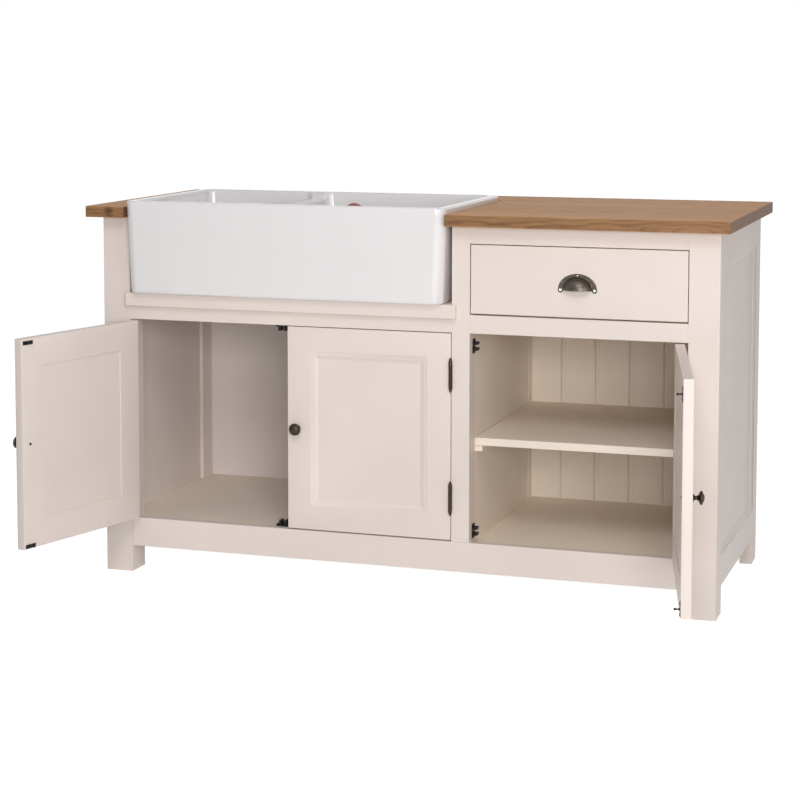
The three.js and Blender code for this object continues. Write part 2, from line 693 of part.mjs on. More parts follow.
// The middle knuckle and the leaf that is let into the door's edge.
function hingeMoving(sign) {
  const half = LEAF_HEIGHT / 2;
  const middle = KNUCKLE / 2 - KNUCKLE_GAP;
  const ringProfile = [
    [BORE_R, -middle],
    [BARREL_R, -middle],
    [BARREL_R, middle],
    [BORE_R, middle],
    [BORE_R, -middle],
  ];
  const x0 = -sign * (PIN_SIDE + LEAF_SINK);
  const x1 = x0 + sign * LEAF_THICK;
  const [low, high] = [Math.min(x0, x1), Math.max(x0, x1)];
  return join(
    turned(ringProfile, 12),
    box(low, high, PIN_OUT + 0.1, LEAF_REACH, -half, half),
    box(low, high, 3.4, LEAF_REACH, -middle, middle),
  );
}

// A mushroom knob on a small foot, standing out along -Y from a face at y = 0.
function knob() {
  const g = new THREE.LatheGeometry(
    [
      [0, 0],
      [8.5, 0],
      [8.5, 1.6],
      [6.2, 2.8],
      [4.2, 5],
      [3.8, 9],
      [5.4, 12.4],
      [10.5, 14.4],
      [13.6, 15.6],
      [14.5, 17.6],
      [13.9, 19.8],
      [11.2, 21.4],
      [10.4, 21],
      [9.4, 22.2],
      [5.4, 23.8],
      [0, 24.4],
    ].map(([r, h]) => new THREE.Vector2(r, h)),
    20,
  );
  g.rotateX(Math.PI);
  return g;
}

// The bead inside the frame, as [inset, depth] points: it slopes to the panel, a little steeper as
// it goes.
const BEAD = Array.from({ length: BEAD_STEPS + 1 }, (_, i) => {
  const along = i / BEAD_STEPS;
  const fall = along * (BEAD_EASE + (1 - BEAD_EASE) * along);
  return [STILE + BEAD_WIDTH * along, BEAD_START + (BEAD_END - BEAD_START) * fall];
});

// The door frame's section, from the edge inwards: a flat face, a step, the bead, and the panel's
// groove.
const DOOR_SECTION = [
  [0, 0],
  [STILE, 0],
  ...BEAD,
  [GROOVE_INSET, BEAD_END],
  [GROOVE_INSET, PANEL_FRONT + PANEL_THICK + FIT_GAP],
  [BACK_STILE, PANEL_FRONT + PANEL_THICK + FIT_GAP],
  [BACK_STILE, DOOR_THICK],
  [0, DOOR_THICK],
];

// A door in a group of its own that turns about its hinge pins. hand is 1 where the pins are at
// the door's left, -1 at its right.
function door(name, pinX, hand, width, openDegrees) {
  const group = new THREE.Group();
  group.position.set(pinX, -PIN_OUT, 0);
  group.rotation.z = THREE.MathUtils.degToRad(-hand * openDegrees);
  unit.add(group);
  const near = hand * PIN_SIDE;
  const far = hand * (PIN_SIDE + width);
  const [x0, x1] = [Math.min(near, far), Math.max(near, far)];
  const [z0, z1] = [DOORWAY_BOTTOM + DOOR_LOW_GAP, DOORWAY_TOP - DOOR_GAP];
  const frame = mitredFrame(x0, x1, z0, z1, DOOR_SECTION);
  frame.translate(0, PIN_OUT, 0);
  piece(group, `door_${name}_frame`, cut(frame, ...leafBeds(near, -hand, PIN_OUT)), PAINT);
  const edge = GROOVE_INSET + 1;
  const y = PIN_OUT + PANEL_FRONT;
  const panel = box(x0 + edge, x1 - edge, y, y + PANEL_THICK, z0 + edge, z1 - edge);
  piece(group, `door_${name}_panel`, panel, PAINT);
  const handle = knob();
  handle.translate(far - hand * KNOB_INSET, PIN_OUT - FIT_GAP, KNOB_Z);
  piece(group, `knob_${name}`, handle, BRONZE);
  HINGE_Z.forEach((z, i) => {
    const place = i === 0 ? 'lower' : 'upper';
    const fixed = piece(unit, `hinge_${name}_${place}_fixed`, hingeFixed(-hand), BRONZE);
    fixed.position.set(pinX, -PIN_OUT, z);
    const moving = piece(group, `hinge_${name}_${place}_leaf`, hingeMoving(-hand), BRONZE);
    moving.position.set(0, 0, z);
  });
}

function doors() {
  const pairWidth = (POST_LEFT - LEG - 2 * DOOR_GAP - PAIR_GAP) / 2;
  const singleWidth = RIGHT_LEG_LEFT - POST_RIGHT - 2 * DOOR_GAP;
  door('left', LEG + PIN_SIDE, 1, pairWidth, LEFT_OPEN);
  door('middle', POST_LEFT - PIN_SIDE, -1, pairWidth, 0);
  door('right', RIGHT_LEG_LEFT - PIN_SIDE, -1, singleWidth, RIGHT_OPEN);
}

// A catch: a plate, and two cheeks with a slot between them that is open to the front. It lies on
// z = 0 with its length along X; the packer under it lifts it to the doors' height.
function catchBody(packer) {
  const [half, body, slot] = [CATCH_LENGTH / 2, CATCH_BODY / 2, CATCH_SLOT / 2];
  const y1 = CATCH_FRONT + CATCH_DEPTH;
  const plateTop = packer + CATCH_PLATE;
  return join(
    box(-half, half, CATCH_FRONT, y1, 0, plateTop),
    box(-body, -slot, CATCH_FRONT, y1, plateTop - 1, packer + CATCH_HEIGHT),
    box(slot, body, CATCH_FRONT, y1, plateTop - 1, packer + CATCH_HEIGHT),
  );
}

function catches() {
  const middle = (LEG + POST_LEFT) / 2;
  const across = [
    ['left', middle - PAIR_GAP / 2 - CATCH_OFFSET],
    ['middle', middle + PAIR_GAP / 2 + CATCH_OFFSET],
  ];
  for (const [name, x] of across) {
    const low = piece(unit, `catch_${name}_lower`, catchBody(LOW_PACKER), IRON);
    low.position.set(x, 0, FLOOR_TOP);
    const flipped = catchBody(HIGH_PACKER);
    flipped.rotateY(Math.PI);
    const high = piece(unit, `catch_${name}_upper`, flipped, IRON);
    high.position.set(x, 0, DOORWAY_TOP);
  }
  const upright = [
    ['lower', DOORWAY_BOTTOM + SIDE_CATCH_FROM_LOW],
    ['upper', DOORWAY_TOP - SIDE_CATCH_FROM_HIGH],
  ];
  for (const [place, z] of upright) {
    const turnedUp = catchBody(0);
    turnedUp.rotateY(Math.PI / 2);
    piece(unit, `catch_right_${place}`, turnedUp, IRON).position.set(POST_RIGHT, 0, z);
  }
}

// A half-round cup pull: a flat flange with a lug at each end, and a domed cup open below.
function cupPull() {
  const steps = 18;
  const outer = [];
  for (let i = 0; i <= steps; i += 1) {
    const a = (Math.PI * i) / steps;
    outer.push(new THREE.Vector2(PULL_HALF_WIDTH * Math.cos(a), PULL_RISE * Math.sin(a)));
  }
  const shape = new THREE.Shape(outer);
  const plate = new THREE.ExtrudeGeometry(shape, { depth: PULL_FLANGE, bevelEnabled: false });
  plate.rotateX(Math.PI / 2);
  const bodies = [plate];
  const holes = [];
  for (const sign of [-1, 1]) {
    const lug = new THREE.CylinderGeometry(LUG_R, LUG_R, PULL_FLANGE, 20);
    lug.translate((sign * LUG_SPACING) / 2, -PULL_FLANGE / 2, 0);
    bodies.push(lug);
    const hole = new THREE.CylinderGeometry(LUG_HOLE_R, LUG_HOLE_R, 10, 12);
    hole.translate((sign * LUG_SPACING) / 2, 0, 0);
    holes.push(hole);
  }
  const dome = new THREE.SphereGeometry(1, 24, 16);
  const outside = solid(dome.clone().scale(DOME_HALF_WIDTH, DOME_OUT, DOME_RISE));
  const inside = solid(dome.clone().scale(
    DOME_HALF_WIDTH - DOME_SKIN,
    DOME_OUT - DOME_SKIN,
    DOME_RISE - DOME_SKIN,
  ));
  const quarter = solid(box(-60, 60, -60, 0, 0, 60));
  const below = solid(box(-60, 60, -60, 10, -60, -0.001));
  let body = bodies.map(solid).reduce((a, b) => a.add(b));
  body = body.add(outside.intersect(quarter)).subtract(inside);
  for (const hole of holes) body = body.subtract(solid(hole));
  const trimmed = body.subtract(below.subtract(solid(box(-60, 60, -PULL_FLANGE - 1, 10, -60, 1))));
  return fromSolid(trimmed);
}

function drawer() {
  const [x0, x1] = [POST_RIGHT + DOOR_GAP, RIGHT_LEG_LEFT - DOOR_GAP];
  const [z0, z1] = [DRAWER_RAIL_TOP + DRAWER_FRONT_LOW_GAP, DRAWER_BAY_TOP - DOOR_GAP];
  piece(unit, 'drawer_front', box(x0, x1, 0, DRAWER_FRONT_THICK, z0, z1), PAINT);
  const [b0, b1] = [POST_RIGHT + DRAWER_SIDE_GAP, RIGHT_LEG_LEFT - DRAWER_SIDE_GAP];
  const [y0, y1] = [DRAWER_FRONT_THICK, DRAWER_BOX_BACK];
  const wall = DRAWER_WALL;
  const tray = cut(
    box(b0, b1, y0, y1, DRAWER_BOX_BOTTOM, DRAWER_BOX_TOP),
    box(b0 + wall, b1 - wall, y0 + wall, y1 - wall, DRAWER_BOX_BOTTOM + DRAWER_BASE, TOP),
  );
  piece(unit, 'drawer_box', tray, RAW_WOOD);
  const pull = piece(unit, 'cup_pull', cupPull(), PEWTER);
  pull.position.set(PULL_X, 0, PULL_Z);
}

legs();
posts();
rails();
side('side_left', 0, 1);
side('side_right', WIDTH, -1);
floorAndBacks();
insides();
worktop();
sink();
wastes();
doors();
catches();
drawer();

// Origin under the middle of the bounding box, from the open right door to the worktop's back.
const CENTRE_Y = (DEPTH + OVERHANG_BACK - RIGHT_OPEN_REACH) / 2;
unit.position.set(-WIDTH / 2, -CENTRE_Y, 0);
const model = new THREE.Group();
model.add(unit);

export default model;
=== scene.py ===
"""Freestanding kitchen sink unit in cream paint, with a solid wood worktop and a glazed sink.

The unit stands with its left and right doors open, as in the photograph. Metres, +Z up, front
towards -Y. Each section below is one piece of the unit or one group of like pieces.
"""

import json
import math
from functools import partial

import bmesh
import bpy
from mathutils import Matrix, Vector
from mathutils.geometry import delaunay_2d_cdt


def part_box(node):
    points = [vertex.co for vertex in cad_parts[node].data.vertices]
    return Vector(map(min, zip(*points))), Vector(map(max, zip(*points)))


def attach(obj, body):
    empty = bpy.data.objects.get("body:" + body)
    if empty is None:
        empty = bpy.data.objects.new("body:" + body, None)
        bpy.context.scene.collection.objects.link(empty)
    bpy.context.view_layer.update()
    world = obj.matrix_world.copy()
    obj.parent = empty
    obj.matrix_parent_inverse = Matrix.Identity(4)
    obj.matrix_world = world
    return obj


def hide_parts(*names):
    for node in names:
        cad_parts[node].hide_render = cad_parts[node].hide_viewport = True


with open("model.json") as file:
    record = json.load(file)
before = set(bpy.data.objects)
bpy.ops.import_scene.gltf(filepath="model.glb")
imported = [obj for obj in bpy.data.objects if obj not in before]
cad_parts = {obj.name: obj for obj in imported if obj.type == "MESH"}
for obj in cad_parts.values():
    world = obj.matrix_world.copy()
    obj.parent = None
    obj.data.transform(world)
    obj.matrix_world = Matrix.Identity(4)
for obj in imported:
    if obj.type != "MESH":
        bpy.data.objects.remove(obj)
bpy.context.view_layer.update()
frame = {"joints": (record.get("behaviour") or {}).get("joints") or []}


# ---- Room and camera -------------------------------------------------------------------------
# A white studio floor under a plain white world, with four soft lamps: low in front, high in front,
# on the right and overhead. The camera stands in front, turned 18 degrees to the left and tilted
# down by 5; its shift makes up the rest of the photograph's framing.
MM = 0.001
CARCASS_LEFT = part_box("side_left")[0].x
CARCASS_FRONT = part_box("post_front")[0].y
IMAGE = 800
SENSOR = 36
FOCAL_PIXELS = 2052.2
CENTRE_PIXEL = (377.1, 240)
CAMERA_TURN = 18.504
CAMERA_TILT = 5.058
CAMERA_FROM_LEFT = 2.2086
CAMERA_FROM_FRONT = 4.5021
CAMERA_HEIGHT = 1.2545

camera_data = bpy.data.cameras.new("view")
camera_data.sensor_width = SENSOR
camera_data.lens = SENSOR * FOCAL_PIXELS / IMAGE
camera_data.shift_x = 0.5 - CENTRE_PIXEL[0] / IMAGE
camera_data.shift_y = CENTRE_PIXEL[1] / IMAGE - 0.5
camera = bpy.data.objects.new("view", camera_data)
camera.location = (
    CARCASS_LEFT + CAMERA_FROM_LEFT,
    CARCASS_FRONT - CAMERA_FROM_FRONT,
    CAMERA_HEIGHT,
)
camera.rotation_euler = (math.radians(90 - CAMERA_TILT), 0, math.radians(CAMERA_TURN))
bpy.context.scene.collection.objects.link(camera)
bpy.context.scene.camera = camera
bpy.context.scene.view_settings.view_transform = "Standard"


def feed(node, inputs):
    """Fills a node's inputs, by name or number: a socket is linked, anything else is set."""
    for key, value in inputs.items():
        if isinstance(value, bpy.types.NodeSocket):
            node.id_data.links.new(value, node.inputs[key])
        else:
            node.inputs[key].default_value = value


def add_node(tree, kind, inputs=None, **settings):
    """A shader node with its inputs fed and its options set."""
    made = tree.nodes.new(kind)
    for key, value in settings.items():
        setattr(made, key, value)
    feed(made, inputs or {})
    return made


def seen_directly(tree):
    """1 for what the camera, a reflection or clear glass shows, 0 for the light on the unit."""
    path = add_node(tree, "ShaderNodeLightPath")
    seen = path.outputs["Is Camera Ray"]
    for ray in ("Is Glossy Ray", "Is Transmission Ray"):
        pair = {0: seen, 1: path.outputs[ray]}
        seen = add_node(tree, "ShaderNodeMath", pair, operation="MAXIMUM").outputs[0]
    return seen


ROOM_LIGHT = 0.185
ROOM_TINT = (0.985, 0.99, 1.0, 1)
WHITE = (1, 1, 1, 1)
world = bpy.data.worlds.new("white_room")
bpy.context.scene.world = world
world.use_nodes = True
tree = world.node_tree
tree.nodes.clear()
room = add_node(tree, "ShaderNodeBackground", {"Color": ROOM_TINT, "Strength": ROOM_LIGHT})
white = add_node(tree, "ShaderNodeBackground", {"Color": WHITE, "Strength": 1.0})
shades = {0: seen_directly(tree), 1: room.outputs[0], 2: white.outputs[0]}
either = add_node(tree, "ShaderNodeMixShader", shades)
add_node(tree, "ShaderNodeOutputWorld", {"Surface": either.outputs[0]})

FLOOR_REACH = 40
FLOOR_GLOW = 0.88
FLOOR_GREY = (0.82, 0.82, 0.82, 1)
floor_mesh = bpy.data.meshes.new("studio_floor")
floor_turns = ((-1, -1), (1, -1), (1, 1), (-1, 1))
floor_corners = [(x * FLOOR_REACH, y * FLOOR_REACH, 0) for x, y in floor_turns]
floor_mesh.from_pydata(floor_corners, [], [(0, 1, 2, 3)])
floor = bpy.data.objects.new("studio_floor", floor_mesh)
bpy.context.scene.collection.objects.link(floor)
floor_look = bpy.data.materials.new("white_floor")
floor_look.use_nodes = True
tree = floor_look.node_tree
tree.nodes.clear()
matt = add_node(tree, "ShaderNodeBsdfDiffuse", {"Color": FLOOR_GREY})
level = {0: seen_directly(tree), 1: FLOOR_GLOW}
lift = add_node(tree, "ShaderNodeMath", level, operation="MULTIPLY")
glow = add_node(tree, "ShaderNodeEmission", {"Strength": lift.outputs[0]})
both = add_node(tree, "ShaderNodeAddShader", {0: matt.outputs[0], 1: glow.outputs[0]})
add_node(tree, "ShaderNodeOutputMaterial", {"Surface": both.outputs[0]})
floor_mesh.materials.append(floor_look)

# Each lamp's place, size in metres and power in watts. All face the middle of the unit.
LAMPS_AIM = Vector((0, 0, 0.45))
LAMPS = {
    "front_lamp": ((2.0, -5.0, 1.4), (1.7, 1.4), 109),
    "high_front_lamp": ((1.0, -3.4, 3.4), (1.8, 1.4), 51),
    "right_lamp": ((4.6, -3.6, 1.5), (1.7, 1.4), 38),
    "overhead_lamp": ((0.5, -1.2, 3.3), (2.0, 1.4), 7),
}
for name, (place, size, power) in LAMPS.items():
    data = bpy.data.lights.new(name, "AREA")
    data.shape = "RECTANGLE"
    data.size, data.size_y = size
    data.energy = power
    lamp = bpy.data.objects.new(name, data)
    lamp.location = place
    lamp.rotation_euler = (LAMPS_AIM - Vector(place)).to_track_quat("-Z", "Y").to_euler()
    bpy.context.scene.collection.objects.link(lamp)


# ---- Legs and posts --------------------------------------------------------------------------
# Four square painted timber legs, 70 mm deep, and a 43 mm front post between the two cupboards,
# with a post behind it. Edges are eased by hand, more so on the two outer corners of each leg.
EASED = 0.6 * MM
CREAM = (0.795, 0.701, 0.645)
MARKS_ACROSS = 620.0
MARKS_ALONG = 14.0


def colour_mix(tree, factor, first, second):
    """A blend of two colours; each is a socket or a plain colour."""
    first, second = ((*c, 1) if isinstance(c, tuple) else c for c in (first, second))
    inputs = {0: factor, 6: first, 7: second}
    return add_node(tree, "ShaderNodeMix", inputs, data_type="RGBA").outputs[2]


def noise(tree, scale, detail=3.0, roughness=0.5):
    """Noise over the piece's own coordinates, scaled per axis."""
    place = add_node(tree, "ShaderNodeTexCoord").outputs["Object"]
    place = add_node(tree, "ShaderNodeMapping", {"Vector": place, "Scale": scale}).outputs[0]
    inputs = {"Vector": place, "Scale": 1.0, "Detail": detail, "Roughness": roughness}
    return add_node(tree, "ShaderNodeTexNoise", inputs).outputs["Fac"]


def spread(tree, value, low, high, new_low=0.0, new_high=1.0):
    """A value between low and high, spread over a new range."""
    inputs = dict(enumerate((value, low, high, new_low, new_high)))
    return add_node(tree, "ShaderNodeMapRange", inputs).outputs[0]


def bumped(tree, height, strength, depth):
    """A shader's normal, tilted as a height rises and falls, depth in metres."""
    inputs = {"Height": height, "Strength": strength, "Distance": depth}
    return add_node(tree, "ShaderNodeBump", inputs).outputs[0]


def new_look(name):
    """An empty material with its node tree and its main shader."""
    look = bpy.data.materials.new(name)
    look.use_nodes = True
    return look, look.node_tree, look.node_tree.nodes["Principled BSDF"]


def painted(name, colour, grain, gloss=0.44):
    """Satin paint over timber: soft mottling, and faint lay-off marks along the grain axis."""
    look, tree, shader = new_look(name)
    mark_scale = [MARKS_ACROSS] * 3
    mark_scale["xyz".index(grain)] = MARKS_ALONG
    cloud = spread(tree, noise(tree, (5, 5, 5), 2), 0.3, 0.7)
    deeper = tuple(c * 0.965 for c in colour)
    lighter = tuple(min(1, c * 1.015) for c in colour)
    marks = noise(tree, mark_scale, 3, 0.6)
    feed(shader, {
        "Base Color": colour_mix(tree, cloud, deeper, lighter),
        "Roughness": spread(tree, marks, 0.2, 0.8, gloss - 0.05, gloss + 0.08),
        "Specular IOR Level": 0.42,
        "Coat Weight": 0.08,
        "Coat Roughness": 0.3,
        "Normal": bumped(tree, marks, 0.16, 0.0005),
    })
    return look


def mesh_piece(name, geometry, look, sharp_over=None):
    """A closed piece from its points and faces. sharp_over keeps edges sharper than that angle."""
    points, faces = geometry
    mesh = bpy.data.meshes.new(name)
    mesh.from_pydata([tuple(p) for p in points], [], faces)
    shell = bmesh.new()
    shell.from_mesh(mesh)
    bmesh.ops.remove_doubles(shell, verts=shell.verts, dist=1e-6)
    bmesh.ops.recalc_face_normals(shell, faces=shell.faces)
    shell.to_mesh(mesh)
    shell.free()
    mesh.polygons.foreach_set("use_smooth", [True] * len(mesh.polygons))
    if sharp_over:
        mesh.set_sharp_from_angle(angle=math.radians(sharp_over))
    mesh.materials.append(look)
    piece = bpy.data.objects.new(name, mesh)
    bpy.context.scene.collection.objects.link(piece)
    return piece


def ease(piece, radius, weighted=False):
    """Rounds the piece's edges and keeps its flat faces flat in the light."""
    bevel = piece.modifiers.new("eased_edges", "BEVEL")
    bevel.width = radius
    bevel.segments = 3
    bevel.limit_method = "WEIGHT" if weighted else "ANGLE"
    bevel.angle_limit = math.radians(30)
    piece.modifiers.new("even_light", "WEIGHTED_NORMAL")
    return piece


def block(low, high):
    """The points and faces of a square block."""
    (x0, y0, z0), (x1, y1, z1) = low, high
    corners = [(x, y, z) for x in (x0, x1) for y in (y0, y1) for z in (z0, z1)]
    sides = [(0, 1, 3, 2), (4, 6, 7, 5), (0, 4, 5, 1), (2, 3, 7, 6), (0, 2, 6, 4), (1, 5, 7, 3)]
    return corners, sides


def board(name, low, high, look, radius=EASED, corners=None):
    """A planed board with eased edges. corners gives upright edges, as (x side, y side), a wider
    radius: a side is -1 for the low one and 1 for the high one."""
    piece = mesh_piece(name, block(low, high), look)
    if not corners:
        return ease(piece, radius)
    wide = max(corners.values())
    shell = bmesh.new()
    shell.from_mesh(piece.data)
    weight = shell.edges.layers.float.new("bevel_weight_edge")
    middle = (Vector(low) + Vector(high)) / 2
    for edge in shell.edges:
        along = edge.verts[1].co - edge.verts[0].co
        centre = (edge.verts[0].co + edge.verts[1].co) / 2 - middle
        side = (1 if centre.x > 0 else -1, 1 if centre.y > 0 else -1)
        upright = abs(along.z) > 1e-6
        edge[weight] = (corners[side] if upright and side in corners else radius) / wide
    shell.to_mesh(piece.data)
    shell.free()
    return ease(piece, wide, weighted=True)


def fit(piece, body, slot, *nodes):
    """The piece moves with the body and stands for the nodes, which it hides. The slot is not used.
    """
    if nodes:
        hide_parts(*nodes)
    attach(piece, body)
    return piece


cream_upright = painted("cream_paint_upright", CREAM, "z")
side_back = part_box("side_left")[1].y
LEG_CORNER = 2.6 * MM
LIP_ROUND = 0.8 * MM
LEGS = {"leg_front_left": -1, "leg_front_right": 1, "leg_rear_left": -1, "leg_rear_right": 1}
for leg, outer in LEGS.items():
    low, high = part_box(leg)
    in_front = "front" in leg
    if not in_front:
        low = Vector((low.x, side_back, low.z))
    turned_out = {(outer, -1 if in_front else 1): LEG_CORNER}
    made = board(f"painted_{leg}", low, high, cream_upright, corners=turned_out)
    fit(made, "cabinet", "cream_paint", leg)

# A lip on each rear leg laps the inside of the side board.
for leg, side in (("leg_rear_left", "side_left"), ("leg_rear_right", "side_right")):
    low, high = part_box(leg)
    board_low, board_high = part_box(side)
    left, right = (board_high.x, high.x) if side == "side_left" else (low.x, board_low.x)
    low, high = (left, low.y, board_low.z), (right, board_high.y, high.z)
    fit(board(f"painted_lip_{leg}", low, high, cream_upright, LIP_ROUND), "cabinet", "cream_paint")


def walls(starts, count, closed=True):
    """The faces between rings of count points each, given the first point of every ring."""
    faces = []
    for a, b in zip(starts, starts[1:]):
        for i in range(count if closed else count - 1):
            k = (i + 1) % count
            faces.append((a + i, a + k, b + k, b + i))
    return faces


def prism(outline, axis, start, end):
    """A length with one section all along an axis; the outline holds the two other axes."""
    at = "xyz".index(axis)
    count = len(outline)
    points = [(*spot[:at], along, *spot[at:]) for along in (start, end) for spot in outline]
    ends = [tuple(range(count)), tuple(range(2 * count - 1, count - 1, -1))]
    return points, ends + walls((0, count), count)


def run(name, outline, axis, start, end, look, radius=EASED):
    return ease(mesh_piece(name, prism(outline, axis, start, end), look), radius)


post_low, post_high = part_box("post_front")
lip_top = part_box("rail_bottom_front")[1].z
lip_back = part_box("rail_top_front")[1].y
post_outline = [
    (post_low.y, lip_top), (lip_back, lip_top), (lip_back, post_low.z),
    (post_high.y, post_low.z), (post_high.y, post_high.z), (post_low.y, post_high.z),
]
made = run("painted_front_post", post_outline, "x", post_low.x, post_high.x, cream_upright)
fit(made, "cabinet", "cream_paint", "post_front")


# ---- Rails and apron -------------------------------------------------------------------------
# The front frame's level timbers, 22 mm thick: a bottom rail with a ledge for the floor board, a
# rail under the sink, the two rails round the drawer, two rear rails, and the 15 mm apron board.
cream_level = painted("cream_paint_level", CREAM, "x")
for rail in ("rail_under_sink", "rail_under_drawer", "rail_top_front", "rail_top_rear"):
    made = board(f"painted_{rail}", *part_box(rail), cream_level)
    fit(made, "cabinet", "cream_paint", rail)

RAIL_ROUND = 1.6 * MM
APRON_ROUND = 1.8 * MM
made = board("painted_apron_board", *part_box("apron_board"), cream_level, APRON_ROUND)
fit(made, "cabinet", "cream_paint", "apron_board")

floor_low, floor_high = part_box("floor_board")
rail_low, rail_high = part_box("rail_bottom_front")
front_rail_outline = [
    (rail_low.y, rail_low.z), (rail_high.y, rail_low.z), (rail_high.y, floor_low.z),
    (lip_back, floor_low.z), (lip_back, rail_high.z), (rail_low.y, rail_high.z),
]
ends = (rail_low.x, rail_high.x)
made = run("painted_bottom_rail", front_rail_outline, "x", *ends, cream_level, RAIL_ROUND)
fit(made, "cabinet", "cream_paint", "rail_bottom_front")

back_low, back_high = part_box("rail_bottom_rear")
rear_rail_outline = [
    (back_low.y, back_low.z), (back_high.y, back_low.z), (back_high.y, back_high.z),
    (floor_high.y, back_high.z), (floor_high.y, floor_low.z), (back_low.y, floor_low.z),
]
ends = (back_low.x, back_high.x)
made = run("painted_rear_bottom_rail", rear_rail_outline, "x", *ends, cream_level)
fit(made, "cabinet", "cream_paint", "rail_bottom_rear")


# ---- Framed sides ----------------------------------------------------------------------------
# A board stands between the legs on each side, its panel sunk 8 mm behind the rails, with a sloped
# moulding 17 mm wide all round it. The back of each board is plain.
SUNK = 7.7 * MM
SIDE_THICK = 20.5 * MM
SIDE_ROUND = 0.5 * MM
QUIRK = 1.5 * MM
MOULDING = 17 * MM
MOULDING_EASE = 0.7
SIDE_RAIL_BOTTOM = 799 * MM
MOULDING_STEPS = 7


def moulding_curve():
    """The moulding's section as (inset, depth) points: a square step, then an easy slope."""
    points = [(0, 0), (0, QUIRK)]
    for i in range(1, MOULDING_STEPS + 1):
        along = i / MOULDING_STEPS
        fall = along * (MOULDING_EASE + (1 - MOULDING_EASE) * along)
        points.append((MOULDING * along, QUIRK + (SUNK - QUIRK) * fall))
    return points


def side_board(node, outer, inward):
    """From the plain back to the outer face, then down the moulding to the sunk panel."""
    low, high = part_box(node)
    levels = [(low.y, high.y, low.z, high.z, depth) for depth in (SIDE_THICK, 0)]
    for inset, depth in moulding_curve():
        upper = SIDE_RAIL_BOTTOM - inset
        levels.append((low.y + inset, high.y - inset, lip_top + inset, upper, depth))
    points = []
    for y0, y1, z0, z1, depth in levels:
        x = outer + inward * depth
        points += [(x, y0, z0), (x, y1, z0), (x, y1, z1), (x, y0, z1)]
    last = len(points) - 4
    faces = [(0, 1, 2, 3), *walls(range(0, len(points), 4), 4)]
    faces.append((last, last + 1, last + 2, last + 3))
    return ease(mesh_piece(f"painted_{node}", (points, faces), cream_upright), SIDE_ROUND)


for node, inward in (("side_left", 1), ("side_right", -1)):
    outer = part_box(node)[0 if inward > 0 else 1].x
    fit(side_board(node, outer, inward), "cabinet", "cream_paint", node)


# ---- Inside boards ---------------------------------------------------------------------------
# The floor board, the partition, the shelf on two battens, the rear post, and the two backs. The
# sink cupboard's back is a plain sheet; the other's is matched boards with a groove at each joint.
# The inside cream is the outside's paint painted lighter and warmer: painted light for the bounce
# inside the cupboards.
INNER_PAINTED_LIGHT = (0.900, 0.795, 0.680)
BACK_SHEET = (0.82, 0.740, 0.715)
inner_painted_light_level = painted("inner_paint_painted_light_level", INNER_PAINTED_LIGHT, "x", 0.52)
inner_painted_light_upright = painted("inner_paint_painted_light_upright", INNER_PAINTED_LIGHT, "z", 0.52)
back_sheet = painted("back_sheet_paint", BACK_SHEET, "z", 0.5)

leg_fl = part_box("leg_front_left")
leg_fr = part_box("leg_front_right")
leg_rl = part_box("leg_rear_left")
leg_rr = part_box("leg_rear_right")


def round_right_legs(low, high):
    """A level board's edge from its front round the two right legs to its back."""
    return [
        (leg_fr[0].x, low.y), (leg_fr[0].x, leg_fr[1].y), (high.x, leg_fr[1].y),
        (high.x, leg_rr[0].y), (leg_rr[0].x, leg_rr[0].y), (leg_rr[0].x, high.y),
    ]


floor_outline = [(leg_fl[1].x, floor_low.y), *round_right_legs(floor_low, floor_high)]
floor_outline += [
    (leg_rl[1].x, floor_high.y), (leg_rl[1].x, leg_rl[0].y), (floor_low.x, leg_rl[0].y),
    (floor_low.x, leg_fl[1].y), (leg_fl[1].x, leg_fl[1].y),
]
made = run("painted_floor_board", floor_outline, "z", floor_low.z, floor_high.z, inner_painted_light_level)
fit(made, "cabinet", "inner_paint", "floor_board")

SHELF_ROUND = 1.0 * MM
shelf_low, shelf_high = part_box("shelf")
shelf_outline = [(post_high.x, shelf_low.y), *round_right_legs(shelf_low, shelf_high)]
shelf_outline.append((post_high.x, shelf_high.y))
ends = (shelf_low.z, shelf_high.z)
made = run("painted_shelf", shelf_outline, "z", *ends, inner_painted_light_level, SHELF_ROUND)
fit(made, "cabinet", "inner_paint", "shelf")

for node in ("partition", "post_rear", "shelf_batten_left", "shelf_batten_right"):
    made = board(f"painted_{node}", *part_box(node), inner_painted_light_upright, LIP_ROUND)
    fit(made, "cabinet", "inner_paint", node)

made = board("painted_plain_back", *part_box("back_plain"), back_sheet, SIDE_ROUND)
fit(made, "cabinet", "back_paint", "back_plain")

BOARD_PITCH = 88.5 * MM
FIRST_JOINT = 76.8 * MM
GROOVE_HALF = 3 * MM
GROOVE_ROUND = 0.15 * MM
# Across one joint, in mm: the groove with its slit, then a fine bead beside it.
JOINT = [
    (-3, 0), (-0.5, 2.4), (-0.5, 4.8), (0.5, 4.8), (0.5, 2.4), (3, 0),
    (9, 0), (9.9, 1.1), (10.8, 0),
]
boards_low, boards_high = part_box("back_boarded")
back_outline = [(boards_low.x, boards_low.y)]
joint = boards_low.x + FIRST_JOINT
while joint < boards_high.x - 2 * GROOVE_HALF:
    back_outline += [(joint + offset * MM, boards_low.y + depth * MM) for offset, depth in JOINT]
    joint += BOARD_PITCH
back_outline += [(boards_high.x, boards_low.y), (boards_high.x, boards_high.y)]
back_outline.append((boards_low.x, boards_high.y))
ends = (boards_low.z, boards_high.z)
made = run("painted_boarded_back", back_outline, "z", *ends, inner_painted_light_upright, GROOVE_ROUND)
fit(made, "cabinet", "inner_paint", "back_boarded")


